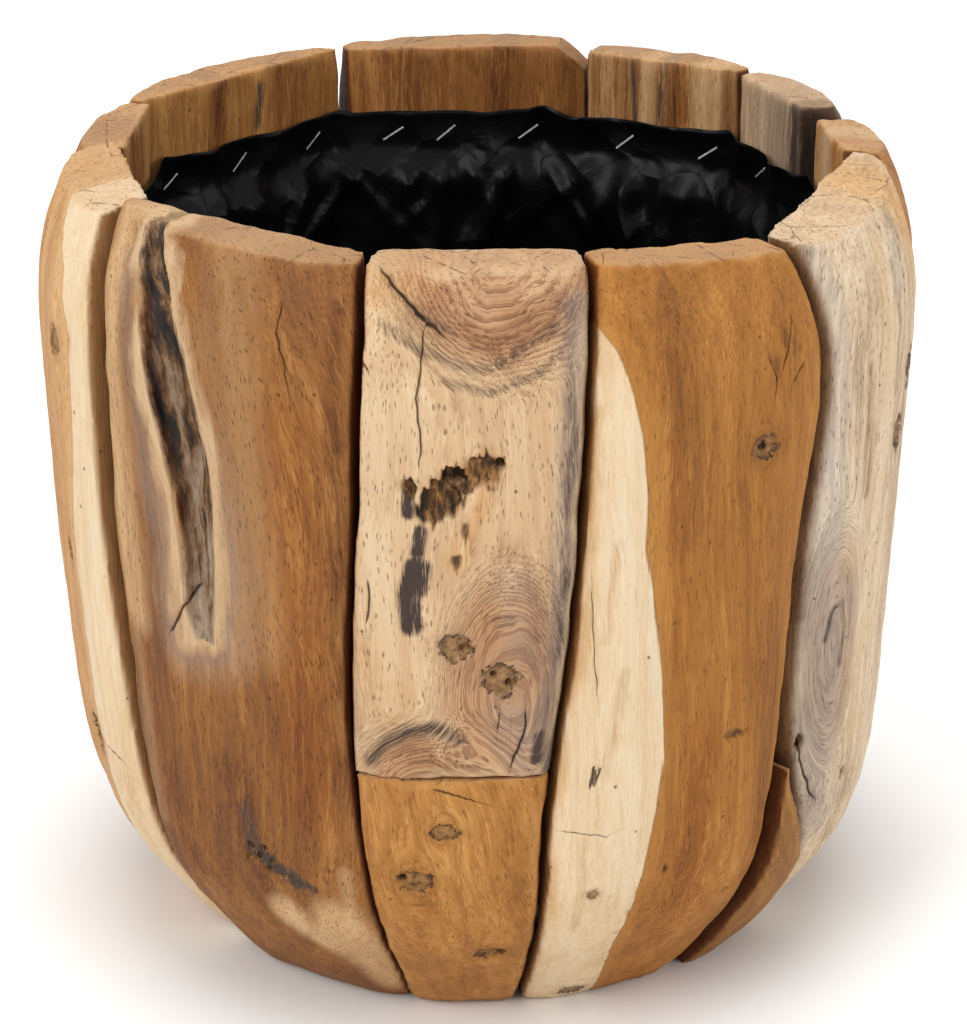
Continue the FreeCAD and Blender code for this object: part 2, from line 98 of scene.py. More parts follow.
def shape(piece, kind, **settings):
    """Adds one modifier with its settings and applies it."""
    only(piece)
    modifier = piece.modifiers.new(kind, kind)
    for name, value in settings.items():
        setattr(modifier, name, value)
    bpy.ops.object.modifier_apply(modifier=modifier.name)


def merged(piece, gap, turn_inside=False):
    """Merges vertices that lie closer than a gap, and can point all faces inwards."""
    only(piece)
    bpy.ops.object.mode_set(mode="EDIT")
    bpy.ops.mesh.select_all(action="SELECT")
    bpy.ops.mesh.remove_doubles(threshold=gap)
    if turn_inside:
        bpy.ops.mesh.normals_make_consistent(inside=True)
    bpy.ops.object.mode_set(mode="OBJECT")


def linear(code):
    """Linear colour of an sRGB hex code."""
    parts = [int(code[i:i + 2], 16) / 255 for i in (1, 3, 5)]
    return [c / 12.92 if c <= 0.04045 else ((c + 0.055) / 1.055) ** 2.4 for c in parts] + [1.0]


def add(tree, kind, inputs=None, stops=None, **settings):
    """Adds a shader node with its settings, inputs and ramp stops, and gives its first output in use."""
    node = tree.nodes.new("ShaderNode" + kind)
    for name, value in settings.items():
        setattr(node, name, value)
    for key, value in (inputs or {}).items():
        if isinstance(value, bpy.types.NodeSocket):
            tree.links.new(value, node.inputs[key])
        else:
            node.inputs[key].default_value = linear(value) if isinstance(value, str) else value
    for i, (place, colour) in enumerate(stops or ()):
        elements = node.color_ramp.elements
        stop = elements[i] if i < 2 else elements.new(place)
        stop.position = place
        stop.color = linear(colour) if isinstance(colour, str) else (colour, colour, colour, 1)
    return next((output for output in node.outputs if output.enabled), None)


def bare(material):
    """Empties the node tree of a new material or world and gives the tree."""
    material.use_nodes = True
    material.node_tree.nodes.clear()
    return material.node_tree


def millimetres(tree):
    """Object coordinates in millimetres."""
    source = add(tree, "TexCoord").node.outputs["Object"]
    return add(tree, "Mapping", {"Vector": source, "Scale": (1 / mm, 1 / mm, 1 / mm)})


def fade(values, start, end):
    """Smooth step from 0 at start to 1 at end."""
    t = np.clip((values - start) / (end - start), 0, 1)
    return t * t * (3 - 2 * t)


# %% [markdown]
# ## The marks of the wood
# Every slab tells its own story: branches left knots, drying left cracks, damp left grey and purple
# stains, and insects left holes. They are listed here as they lie on the outer face, by angle and height,
# so that the carving and the colours use the same places.

# %% Slabs
front_left, front, foot = "stave_front_left", "stave_front", "stave_front_foot"
front_right, right_front, filler = "stave_front_right", "stave_right_front", "filler_right"
right, right_back, back_right = "stave_right", "stave_right_back", "stave_back_right"
back, back_left, left_back, left = "stave_back", "stave_back_left", "stave_left_back", "stave_left"
staves = (front_left, front, foot, front_right, right_front, filler, right, right_back, back_right, back,
          back_left, left_back, left)
print(len(staves), "slabs")

# %% Knots, holes and cracks
# Knots: angle, height, radius, depth of the sunk wood.
knots = {
    front: ((-2.8, 205.7, 7, 1), (2.5, 190.6, 8, 2)),
    foot: ((-4.5, 116.6, 6.5, 0.8), (-8.5, 91.2, 8.5, 1.6), (1.5, 46.5, 7, 2)),
    front_right: ((36.9, 281.1, 7.5, 1.2), (15.1, 81.2, 3, 0.4), (16.6, 7.2, 6, 0.6)),
    left: ((-66.1, 301.3, 7, 1), (-68.4, 197.6, 5, 0.8), (-66.5, 107.8, 9, 2.5)),
    right_front: ((70.8, 285.9, 7, 1.5), (67.7, 256.2, 8, 2)),
    right: ((94, 230, 9, 2), (99, 96, 6, 1)),
    right_back: ((118, 262, 11, 2.5), (124, 150, 7, 1.2)),
    back_right: ((147, 300, 8, 1.4), (152, 118, 10, 2)),
    back: ((188, 206, 12, 2.2), (175, 92, 7, 1.2)),
    back_left: ((219, 288, 8, 1.5), (236, 140, 11, 2.4)),
    left_back: ((262, 250, 7, 1.2),),
}
# How much wider than tall the knots of a slab are.
knot_squash = {foot: 1.6, front_right: 1.3}
# Holes: angle, height, radius across, radius up, depth.
holes = {
    front: (
        (-4.4, 275, 11, 10, 5), (-5.6, 270, 7, 8, 3.5), (-2.9, 284.5, 6, 5.5, 9), (0.6, 287.4, 9.5, 9, 4),
        (2.4, 289.5, 3, 3, 8), (-1.6, 281, 6, 6, 3), (-8.1, 279, 3.5, 5, 4), (-1.6, 259, 2.6, 6, 1.4),
        (-2.8, 246, 3, 4, 1.6), (-2, 206, 2.4, 2.4, 3), (3.6, 189, 2, 2.6, 2.6),
        (1.6, 192.6, 1.8, 1.8, 2.4),
    ),
    front_left: (
        (-31.8, 93.5, 2.4, 3, 3), (-30.6, 88.5, 2.2, 2.6, 3), (-29.6, 94, 2, 3.4, 2.5),
        (-28.4, 88, 2.4, 2.4, 3), (-32.4, 86, 1.8, 2.2, 2.5), (-29.4, 83, 1.8, 2.2, 2.5),
    ),
    front_right: (
        (42, 323, 4, 9, 1), (40.2, 327, 2, 10, 0.9), (38.4, 316, 2.5, 7, 0.8), (34.7, 146.8, 7, 3, 1.6),
        (36.9, 281, 2.6, 3, 3), (36.8, 63, 3, 2, 1.5), (25.5, 86.6, 1.5, 3, 1.6),
    ),
    right_front: ((48, 126.7, 2.2, 5, 4), (57.7, 100.3, 2.6, 4, 4), (69.5, 266, 2.5, 9, 3)),
    left: ((-67, 112, 2.5, 5, 4), (-65.2, 104, 2, 4, 3)),
    foot: ((-10.2, 92.5, 2, 2, 3), (3, 46, 2, 3, 4)),
}
# Cracks: half width, depth, then angles and heights along the crack.
cracks = {
    front: (
        (0.6, 2, (-13.2, 369), (-9.4, 358), (-6.4, 349), (-3.4, 341)),
        (0.4, 1, (-6.4, 349), (-6.7, 330), (-7.2, 318), (-6.8, 300), (-6.9, 284)),
        (0.5, 1.2, (-16, 331), (-14.2, 331), (-13, 327)), (0.5, 1.2, (-15.4, 324), (-14.3, 320.5)),
        (0.5, 1.2, (5.8, 178), (5.6, 165), (4.4, 154), (3.8, 146)),
        (0.5, 1, (-13.6, 236), (-13.4, 226), (-13.9, 214)), (0.4, 0.8, (2.6, 176), (2.2, 166)),
    ),
    foot: ((0.35, 0.8, (-12.4, 145.2), (-8, 139.5), (-4, 135.5), (1.9, 130.3)),),
    front_left: (
        (0.6, 1.5, (-38.2, 216), (-41.1, 200), (-43.4, 186)),
        (0.3, 0.6, (-24.6, 352), (-24.8, 339), (-23.6, 326), (-22.8, 314)),
    ),
    front_right: (
        (0.25, 0.6, (13.6, 232), (14.1, 212), (14.8, 176)), (0.8, 1.6, (14.6, 146), (14, 134)),
        (0.5, 1.2, (15.4, 145), (14.8, 136)),
        (0.2, 0.5, (10.4, 114.5), (13.4, 113), (16.3, 111), (17.4, 112)),
        (0.3, 0.6, (37.2, 322), (38.4, 312), (38, 300)), (0.3, 0.8, (41.6, 336), (40.6, 322), (39, 312)),
        (0.3, 0.8, (43, 314), (41, 306)),
    ),
    left: ((0.35, 0.8, (-64.5, 108), (-60, 106), (-56.5, 104)),),
    right_front: (
        (0.5, 1.2, (66, 356), (66.5, 330), (65, 300)),
        (0.6, 1.5, (47.6, 134), (48.6, 118), (51, 98), (53, 90)),
    ),
    right: (
        (0.6, 1.5, (90, 372), (91, 352), (90.4, 330)), (0.4, 1, (100, 200), (100.6, 170), (99.8, 132)),
    ),
    right_back: (
        (0.8, 2, (121, 372), (121.6, 340), (120.4, 300)),
        (0.5, 1.2, (113, 220), (113.8, 170), (113.2, 120)),
    ),
    back_right: (
        (0.5, 1.2, (141, 250), (141.8, 205), (140.6, 160)), (0.6, 1.4, (156, 90), (155, 60), (154.6, 30)),
    ),
    back: (
        (0.5, 1.2, (170, 330), (171, 285), (170.2, 240)), (0.7, 1.6, (196, 120), (195, 80), (194.6, 40)),
    ),
    back_left: (
        (0.6, 1.4, (226, 366), (227, 330), (226, 296)), (0.4, 1, (243, 210), (243.8, 170), (243, 130)),
    ),
    left_back: ((0.5, 1.2, (257, 180), (257.8, 140), (257, 96)),),
}
print(sum(len(marks) for table in (knots, holes, cracks) for marks in table.values()), "carved marks")

# %% Painted strokes
# Each stroke: strength, half width, then angles and heights along it. Damp stains come first.
stains = {
    front: (
        (0.9, 3, (-8.3, 279), (-8.3, 268)), (0.8, 3, (-7, 260), (-7.4, 250)),
        (1, 4.5, (-7.6, 243), (-8.6, 230), (-8.2, 216)), (0.7, 3, (-6.4, 244), (-7, 232)),
        (0.5, 4.4, (-13.6, 150), (-11.6, 160), (-8.7, 166), (-5.4, 168), (-2.5, 163)),
        (0.36, 3.4, (-12, 347), (-6, 337), (-1, 331), (1.2, 331), (5.4, 338), (9, 346)),
        (0.34, 3, (-4, 326), (0.6, 321), (2.4, 322), (6.6, 328), (9.4, 336)),
        (0.4, 1.8, (-11, 362), (-7, 351), (-3, 345)),
        (0.7, 2.4, (-16.4, 262), (-16.2, 240), (-16.4, 220)), (0.8, 3, (7.6, 163), (7, 152)),
        (0.7, 3, (9.4, 158), (8.6, 146)), (0.35, 3, (11.4, 330), (10.9, 290), (10.9, 262)),
        (0.4, 2.4, (10.6, 240), (9.8, 200)),
    ),
    front_left: (
        (0.9, 4.5, (-31.4, 93), (-29, 89)), (0.75, 4, (-29, 88), (-25, 80)),
        (0.6, 2.4, (-26, 86), (-22.6, 78)), (0.5, 5, (-32.4, 112), (-31.4, 98)),
        (0.4, 5, (-48.4, 362), (-47.6, 345)),
    ),
    left: ((0.7, 4, (-67, 110), (-65.2, 104)),),
    right_front: (
        (0.6, 4, (71, 290), (70.6, 276)), (0.5, 4, (68.4, 262), (67.6, 250)),
        (0.5, 2, (50.6, 176), (51.6, 190), (53.2, 192), (54.6, 178), (54, 160)),
    ),
    right_back: ((0.9, 12, (110, 374), (110, 330)), (0.6, 8, (118, 262), (119, 240))),
    back_right: ((0.5, 3, (146, 372), (146.5, 330)), (0.5, 2, (152, 366), (151, 326))),
    back: ((0.4, 9, (188, 206), (187, 180)),),
    back_left: ((0.5, 4, (222, 360), (223, 342)), (0.5, 8, (236, 140), (235, 118))),
}
# Darker heartwood, and narrow strokes of painted shade along the gaps between the front slabs.
darks_and_gap_shade = {
    front_left: (
        (0.25, 9, (-47, 190), (-46, 130), (-43, 70)), (0.4, 9, (-34, 130), (-31, 96), (-30, 70)),
        # Painted shade: the first stroke on this line darkens the right edge beside the gap.
        (0.5, 4, (-17.4, 350), (-17.6, 120)), (0.4, 5, (-52, 170), (-48, 60)),
    ),
    front: (
        (0.7, 5, (11.4, 352), (11, 300), (10.8, 262), (9.6, 200), (8.2, 155)),
        # Painted shade: the first stroke on this line darkens the left edge beside the gap.
        (0.6, 2.4, (-16.2, 350), (-16.4, 250), (-15.4, 160)), (0.3, 7, (3.4, 250), (7, 228), (7.6, 196)),
        (0.4, 10, (-9, 160), (-4, 150)), (0.45, 8, (-7, 350), (2, 340), (9, 352)),
    ),
    front_right: (
        # Painted shade: the first stroke on this line darkens the left side face beside the gap.
        (1, 2.6, (10.8, 350), (11, 250), (10.4, 140), (9, 60)), (0.25, 12, (24, 350), (25, 250)),
        (0.25, 8, (40, 200), (41, 90)), (0.2, 9, (30, 140), (29, 40)),
    ),
    back_left: ((0.7, 8, (231, 372), (233, 330)), (0.5, 14, (215, 372), (214, 330))),
    back: ((0.6, 10, (176, 372), (177, 300)), (0.4, 12, (192, 372), (192, 300))),
    left: ((0.3, 5, (-78, 340), (-76, 200)),),
    left_back: ((0.7, 26, (262, 374), (262, 335)),),
    right_front: (
        (0.6, 3, (47, 330), (48, 250), (47, 190)), (0.5, 3, (56, 300), (57, 240)),
        (0.3, 4, (48, 150), (48.4, 100)), (0.25, 12, (50, 118), (53, 84)), (0.4, 3, (63, 340), (64, 280)),
    ),
}
# Redder wood.
rusts = {
    right_front: ((1, 22, (71, 372), (75, 350), (79, 330)), (0.5, 10, (80, 320), (80, 250))),
    front: (
        (0.45, 5, (0.6, 274), (-1.4, 258), (-3, 246)), (0.5, 9, (-4, 278), (0.6, 288)),
        (0.5, 12, (-12, 362), (-8, 366)), (0.35, 12, (-13, 200), (-11, 180)),
    ),
    front_left: ((0.6, 14, (-24, 300), (-23, 200), (-22, 120)), (0.4, 10, (-50, 160), (-44, 70))),
    front_right: (
        (0.3, 12, (30, 150), (28, 40)), (0.25, 8, (23, 290), (26, 190)),
        (0.4, 2.6, (13.8, 310), (13.2, 262)), (0.35, 2.4, (16.8, 250), (15.6, 205)),
        (0.3, 3, (18, 190), (16, 140)), (0.3, 2.4, (13.4, 110), (13, 60)),
        (0.3, 4, (12.4, 240), (12.6, 190)),
    ),
    left: ((0.5, 6, (-80, 360), (-74, 250), (-74, 100)),),
    back_right: ((0.7, 6, (143, 372), (143, 250)),),
    right: ((0.8, 20, (90, 372), (92, 300)),),
    left_back: ((0.6, 20, (262, 372), (262, 250)),),
}
# Wood that the weather has greyed.
greys = {
    front: (
        (0.95, 7.5, (12.2, 352), (11.6, 300), (11.2, 262), (10, 200), (8.4, 155)),
        (0.5, 12, (4, 172), (6, 152)), (0.35, 10, (4, 235), (6, 200)),
    ),
    front_left: ((0.5, 7, (-50, 350), (-47, 300), (-45, 240)),),
    right_front: (
        (0.9, 12, (46.4, 350), (48, 330), (49, 272), (50, 220), (49.5, 170)),
        (0.9, 16, (52, 190), (51, 140), (50, 110), (53, 80)), (0.5, 8, (66, 352), (64, 330)),
    ),
    right_back: ((0.5, 40, (116, 370), (118, 200), (118, 20)),),
    left_back: ((0.4, 12, (255, 300), (255, 150)),),
}
# Cream wood.
creams = {
    front_left: (
        (0.9, 15, (-20, 58), (-15, 24)), (0.85, 11, (-28, 58), (-21, 42)),
        (0.4, 4, (-18, 90), (-17.8, 60)), (0.28, 22, (-33, 372), (-31, 300), (-29, 200)),
        (0.7, 12, (-54, 366), (-52, 260), (-50.5, 190)), (0.35, 7, (-51.5, 190), (-49, 90)),
    ),
    front: ((0.4, 9, (-13, 320), (-12, 250), (-11, 180)),),
    right_front: ((0.6, 8, (60, 350), (61, 250), (60, 120)),),
    back_right: ((0.9, 9, (138, 372), (138, 200), (139, 60)), (0.5, 5, (149, 372), (149, 250))),
    right: ((0.4, 18, (95, 372), (95, 300)),),
}
painted_tables = {"stain": stains, "dark": darks_and_gap_shade, "rust": rusts, "grey": greys, "cream": creams}
print(sum(len(marks) for table in painted_tables.values() for marks in table.values()), "painted strokes")

# %% [markdown]
# ## Sapwood and the bark pocket
# Under the bark of a hardwood lies pale sapwood, and it meets the brown heartwood in one sharp line. Two
# slabs in front show that line from top to foot. The front left slab grew round a strip of bark, which
# left a long hollow with pale lips.

# %% Sapwood lines and the bark pocket
# Heights and angles of the line. The sapwood lies to the right where the side is 1, to the left at -1.
sapwood = {
    front_right: (-1, (
        (6, 23.2), (46, 20.9), (78, 21.8), (109, 23.2), (144, 24.2), (183, 23.5), (222, 21.8),
        (246, 20.4), (269, 20.5), (300, 19.3), (331, 17.3), (346, 14.6), (372, 10),
    )),
    left: (1, (
        (0, -63.5), (69, -63.4), (112, -63.9), (161, -65.1), (212, -64.6), (264, -62.1), (307, -61.2),
        (336, -64.3), (369, -72.7),
    )),
    right: (1, ((0, 100), (120, 101), (240, 99), (372, 102))),
    back_left: (1, ((0, 243), (120, 241), (240, 244), (372, 240))),
    back: (-1, ((0, 170), (110, 168), (230, 171), (372, 166))),
}
# How fast the sapwood gives way on the way in from the outer face.
sap_slopes = {front_right: 0.15, left: 0.15, right: 1.2, back_left: 1.2, back: 1.2}
# Heights, angles and half widths in degrees of the bark pocket.
pocket = ((190, -37.3, 1.4), (204, -37.7, 2.4), (228, -37.5, 2.8), (256, -38, 3.4), (278, -39, 3.8),
          (300, -40.7, 3.9), (320, -42, 3.5), (340, -44.1, 2.8), (358, -46.6, 2.2), (370, -48.2, 1))
pocket_heights, pocket_angles, pocket_halves = (np.array(column, float) for column in zip(*pocket))
print("sapwood on", len(sapwood), "slabs")

# %% [markdown]
# ## From a sawn solid to a weathered slab
# A copy of each solid is merged, rebuilt from small even faces and smoothed, so that its sharp edges wear
# round. Faces near a mark are divided again, and then the marks are pressed into the surface as with a
# sculpting brush. Long, low waves along the grain take away the last machine flatness.

# %% Slab tools
merge_gap = 0.01 * mm
face_size = 1.9 * mm
belly_radius = 200.0
outer_facing = 0.15
tiny = 1e-6


def turned(angles, middle):
    """Angles within half a turn of a middle one."""
    return (angles - middle + 180) % 360 - 180 + middle


def arc(angles):
    """Length along the belly in mm of an angle in degrees."""
    return np.radians(angles) * belly_radius


def around(angles, radius, heights):
    """Places at angles from the front, a distance from the axis and a height."""
    turns = np.radians(angles)
    return np.stack((np.sin(turns) * radius, -np.cos(turns) * radius, heights), 1)


def skin(piece):
    """Places in mm, normals, angles and outward directions of a piece's vertices."""
    count = len(piece.data.vertices)
    places, normals = np.empty(count * 3, np.float32), np.empty(count * 3, np.float32)
    piece.data.vertices.foreach_get("co", places)
    piece.data.vertices.foreach_get("normal", normals)
    places, normals = places.reshape(-1, 3).astype(float) / mm, normals.reshape(-1, 3).astype(float)
    middle = math.degrees(math.atan2(places[:, 0].mean(), -places[:, 1].mean()))
    angles = turned(np.degrees(np.arctan2(places[:, 0], -places[:, 1])), middle)
    facing = (normals * around(angles, 1, np.zeros(count))).sum(1)
    return SimpleNamespace(places=places, normals=normals, middle=middle, angles=angles, facing=facing,
                           heights=places[:, 2], count=count)


def spot(face, angle, height):
    """The point of the outer face nearest to an angle and a height."""
    off = np.hypot(arc(face.angles - turned(angle, face.middle)), face.heights - height)
    return face.places[np.argmin(np.where(face.facing > outer_facing, off, np.inf))]


def along(face, points):
    """Distance from a line through marked points, sideways offset from it, and share of its length."""
    line = [spot(face, *point) for point in points]
    lengths = np.cumsum([0] + [np.linalg.norm(b - a) for a, b in zip(line, line[1:])])
    best = np.full(face.count, np.inf)
    side, share = np.zeros(face.count), np.zeros(face.count)
    for start, a, b in zip(lengths, line, line[1:]):
        step = b - a
        size = max(np.linalg.norm(step), tiny)
        t = np.clip((face.places - a) @ step / size ** 2, 0, 1)
        gap = face.places - a - t[:, None] * step
        distance = np.linalg.norm(gap, axis=1)
        closer = distance < best
        best[closer] = distance[closer]
        side[closer] = (gap * np.cross(face.normals, step / size)).sum(1)[closer]
        share[closer] = ((start + t * size) / max(lengths[-1], tiny))[closer]
    return best, side, share


def waves(face, size, seed):
    """Smooth noise whose waves have a size in mm for each axis."""
    return np.array([noise.noise(Vector(p) + Vector((seed, 0, 0))) for p in face.places / np.array(size)])


# %% Slab makers
mark_reach = 3.0


def copied(node):
    """A merged copy of a solid with small even faces and worn edges."""
    piece = bpy.data.objects.new(node + "_wood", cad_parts[node].data.copy())
    bpy.context.scene.collection.objects.link(piece)
    piece.data.materials.clear()
    merged(piece, merge_gap)
    shape(piece, "REMESH", mode="VOXEL", voxel_size=face_size)
    shape(piece, "SMOOTH", factor=0.5, iterations=1)
    return piece


def knot_radii(node, face, angle, height, radius):
    """Distance from the middle of a knot in knot radii."""
    gap = face.places - spot(face, angle, height)
    gap[:, 2] *= knot_squash.get(node, 1.0)
    return np.linalg.norm(gap, axis=1) / radius


def near_marks(node, face):
    """Vertices close to a crack, a hole or a knot."""
    near = np.zeros(face.count, bool)
    for _, _, *points in cracks.get(node, ()):
        near |= along(face, points)[0] < mark_reach
    for angle, height, across, tall, _ in holes.get(node, ()):
        off = np.linalg.norm(face.places - spot(face, angle, height), axis=1)
        near |= off < max(across, tall) + mark_reach
    for angle, height, radius, _ in knots.get(node, ()):
        near |= knot_radii(node, face, angle, height, radius) < 1 + mark_reach / radius
    return near


def divided(piece, near):
    """Divides the faces between the vertices that are near a mark."""
    only(piece)
    mesh = piece.data
    mesh.polygons.foreach_set("select", np.zeros(len(mesh.polygons), bool))
    mesh.edges.foreach_set("select", np.zeros(len(mesh.edges), bool))
    mesh.vertices.foreach_set("select", near)
    bpy.ops.object.mode_set(mode="EDIT")
    bpy.ops.mesh.select_mode(type="VERT")
    bpy.ops.mesh.subdivide(number_cuts=1, ngon=False)
    bpy.ops.object.mode_set(mode="OBJECT")


def painted(piece, name, values):
    """Keeps a number or a vector at every vertex for the material to read."""
    values = np.asarray(values, np.float32)
    vector = values.ndim == 2
    attribute = piece.data.attributes.new(name, "FLOAT_VECTOR" if vector else "FLOAT", "POINT")
    attribute.data.foreach_set("vector" if vector else "value", values.ravel())


# %% Marks at every vertex
# A hole as deep as this is dark all the way in, as painted shade; shallower holes are less dark.
full_shade_depth = 3.0
# Two sizes of tear make the edge of a hole ragged: share and size.
wide_tear, long_tear = (0.3, (3, 3, 4)), (0.45, (1.5, 1.5, 6))
hole_floor = 0.45
knot_wall = (0.7, 1.05)
far_knot, far_crack = 4.0, 9.0
# A crack wanders to the side, thins out at both ends, and holds close to its line.
crack_wander, crack_wave = 0.7, (3, 3, 6)
crack_start, crack_end = (0.0, 0.12), (0.8, 1.0)
crack_close = (4.0, 7.0)
crack_floor, crack_slope = 0.2, 2.2
# A stroke is full up to the first share of its half width and gone at the second.
stroke_core, stroke_edge = 0.1, 1.7


def hole_field(node, face):
    """How strongly each vertex is darkened as the inside of a hole, from 0 to 1, less in shallow holes as
    painted shade, and the depth of that hole in mm.
    """
    inside, depths = np.zeros(face.count), np.zeros(face.count)
    for angle, height, across, tall, depth in holes.get(node, ()):
        gap = face.places - spot(face, angle, height)
        up = gap[:, 2] / tall
        flat = np.linalg.norm(gap[:, :2], axis=1) / across
        ragged = 1 + wide_tear[0] * waves(face, wide_tear[1], angle)
        ragged = ragged + long_tear[0] * waves(face, long_tear[1], height)
        share = 1 - fade(np.hypot(up, flat) * ragged, hole_floor, 1.0)
        inside = np.maximum(inside, share * min(depth / full_shade_depth, 1.0))
        depths = np.maximum(depths, share * depth)
    return inside, depths


def knot_field(node, face):
    """Distance from the nearest knot in knot radii, and how far that knot presses the wood in."""
    nearest, sunk = np.full(face.count, far_knot), np.zeros(face.count)
    for *place, depth in knots.get(node, ()):
        distance = knot_radii(node, face, *place)
        nearest = np.minimum(nearest, distance)
        sunk = np.maximum(sunk, depth * (1 - fade(distance, *knot_wall)))
    return nearest, sunk


def crack_field(node, face):
    """Sideways offset from the nearest crack, that crack's half width there, and its depth."""
    offset, half_width = np.full(face.count, far_crack), np.zeros(face.count)
    depths, nearest = np.zeros(face.count), np.full(face.count, np.inf)
    for half, depth, *points in cracks.get(node, ()):
        distance, side, share = along(face, points)
        side = side + crack_wander * waves(face, crack_wave, half + points[0][1])
        ends = fade(share, *crack_start) * (1 - fade(share, *crack_end))
        close = 1 - fade(distance, *crack_close)
        closer = (distance < nearest) & (close > 0)
        nearest[closer] = distance[closer]
        offset[closer] = side[closer]
        half_width[closer] = (half * ends * close)[closer]
        wall = 1 - fade(np.abs(side), crack_floor, crack_slope * half)
        depths[closer] = (depth * ends * wall * close)[closer]
    return offset, half_width, depths


def strokes(table, node, face):
    """Strength of the painted strokes at each vertex, through the whole thickness of the slab."""
    strength = np.zeros(face.count)
    across = arc(face.angles)
    for amount, half, *points in table.get(node, ()):
        line = [(arc(turned(angle, face.middle)), height) for angle, height in points]
        for (x0, z0), (x1, z1) in zip(line, line[1:]):
            dx, dz = x1 - x0, z1 - z0
            t = np.clip(((across - x0) * dx + (face.heights - z0) * dz) / (dx ** 2 + dz ** 2), 0, 1)
            distance = np.hypot(across - x0 - t * dx, face.heights - z0 - t * dz)
            full = 1 - fade(distance, stroke_core * half, stroke_edge * half)
            strength = np.maximum(strength, amount * full)
    return strength


# %% Sapwood and bark at every vertex
far_away = 50.0


def sap_field(node, face):
    """Distance in mm past the line where the sapwood starts, less than 0 in the heartwood."""
    if node not in sapwood:
        return np.full(face.count, -far_away)
    side, line = sapwood[node]
    line_angles = np.interp(face.heights, *zip(*line))
    past = side * np.radians(face.angles - turned(line_angles, face.middle)) * belly_radius
    return past - sap_slopes[node] * (belly_radius - np.linalg.norm(face.places[:, :2], axis=1))


def pocket_field(node, face):
    """Distance from the edge of the bark pocket in mm, less than 0 inside it."""
    if node != front_left:
        return np.full(face.count, far_away)
    middle = np.interp(face.heights, pocket_heights, pocket_angles)
    half = np.interp(face.heights, pocket_heights, pocket_halves)
    below = np.maximum(pocket_heights[0] - face.heights, 0)
    beside = arc(np.abs(face.angles - middle)) - arc(half)
    return np.where(below > 0, np.hypot(np.maximum(beside, 0), below), beside)


# %% [markdown]
# ## Grain
# The rings of a tree are sleeves round its pith. A slab shows them as lines, and their shape tells where
# the pith was. Each slab gets a pith line of its own, and the distance from it is kept at every vertex.
# Knots push the rings aside, and old branches bend them into circles, most of all on the front slab.

# %% Grain
# Pith: across the slab, out from its inner face, and the lean of both on the way up.
piths = {
    front_left: (70, -60, 0.04, 0.06), front: (10, -120, 0.02, 0.1), foot: (-90, -40, 0.22, 0),
    front_right: (60, -70, 0.05, 0.12), right_front: (-10, -50, 0.02, -0.08), filler: (30, -60, 0.2, 0),
    right: (15, -80, 0.03, 0.1), right_back: (-20, -90, 0.04, 0.08), back_right: (70, -60, 0.03, 0.04),
    back: (-15, -100, 0.02, 0.1), back_left: (25, -90, -0.03, 0.12), left_back: (10, -70, 0.02, 0.06),
    left: (-60, -60, 0.03, 0.05),
}
# Circles of grain round old branches: angle, height, reach, and how tall the circles are drawn.
whorls = {
    right_front: ((52.4, 173.5, 22, 3.2),),
    front: ((3.4, 378, 62, 1), (3.4, 180, 36, 2.1), (-5, 124, 56, 1)),
    back: ((186, 206, 44, 1.7),),
    back_left: ((236, 140, 40, 1.6),),
    right_back: ((118, 262, 36, 1.6),),
}
# Lean of the grain across the face in degrees.
leans = {foot: 13, filler: 20, right_front: -2, front_right: 2, back_left: 4}
inner_radius = 160.0
# A knot pushes the rings out by this share of its radius, over this many radii.
ring_push, ring_push_reach = 1.2, 1.8
# Rings of a whorl start this far from their own pith, and its grain is this much shorter.
whorl_pith, whorl_short = 40.0, 0.6
# Grain parts round a knot: how far, how soft in the middle, and how much longer than wide.
part_share, part_soft, part_tall = 0.8, 0.35, 2.2


def whorl_share(face, angle, height, reach, tall):
    """Distance from the middle of a whorl in mm, and how far the whorl rules the grain there."""
    circle = np.hypot(arc(face.angles - turned(angle, face.middle)), (face.heights - height) / tall)
    return circle, 1 - fade(circle, 0.5 * reach, reach)


def rings(node, face):
    """Distance from the pith in mm at each vertex, and how strongly the rings show there."""
    across, out, lean, lean_out = piths[node]
    sideways = np.array([math.cos(math.radians(face.middle)), math.sin(math.radians(face.middle)), 0])
    forward = np.array([sideways[1], -sideways[0], 0])
    u = face.places @ sideways - across - lean * face.heights
    v = face.places @ forward - inner_radius - out - lean_out * face.heights
    field = np.hypot(u, v)
    figure = np.zeros(face.count)
    for *place, _ in knots.get(node, ()):
        distance = knot_radii(node, face, *place)
        field = field + ring_push * place[2] * np.exp(-(distance / ring_push_reach) ** 2)
    for whorl in whorls.get(node, ()):
        circle, share = whorl_share(face, *whorl)
        field = field * (1 - share) + (circle + whorl_pith) * share
        figure = np.maximum(figure, share)
    return field, figure


def grain(node, face):
    """Places across, through and along the grain in mm, parted round knots and the bark pocket."""
    across = arc(face.angles - face.middle) + math.tan(math.radians(leans.get(node, 0))) * face.heights
    through = np.linalg.norm(face.places[:, :2], axis=1)
    along_grain = face.heights.copy()
    if node == front_left:
        across = arc(face.angles - np.interp(face.heights, pocket_heights, pocket_angles))
    for angle, height, radius, _ in knots.get(node, ()):
        side = arc(face.angles - turned(angle, face.middle))
        distance = np.hypot(side, (face.heights - height) / part_tall)
        across = across - part_share * side * radius ** 2 / (distance ** 2 + part_soft * radius ** 2)
    for whorl in whorls.get(node, ()):
        circle, share = whorl_share(face, *whorl)
        across = across * (1 - share) + circle * share
        along_grain = along_grain * (1 - whorl_short * share)
    return np.stack((across, through, along_grain), 1)


# %% Worn edges and nicks
sharp_turn = 0.12
edge_spread, edge_gain = 5, 1.6
nick_size, nick_level, nick_gain = (15, 15, 22), 0.1, 1.6
chip_size, chip_level, chip_gain = (5, 5, 8), -0.25, 0.5
nick_seed, chip_seed = 50, 70


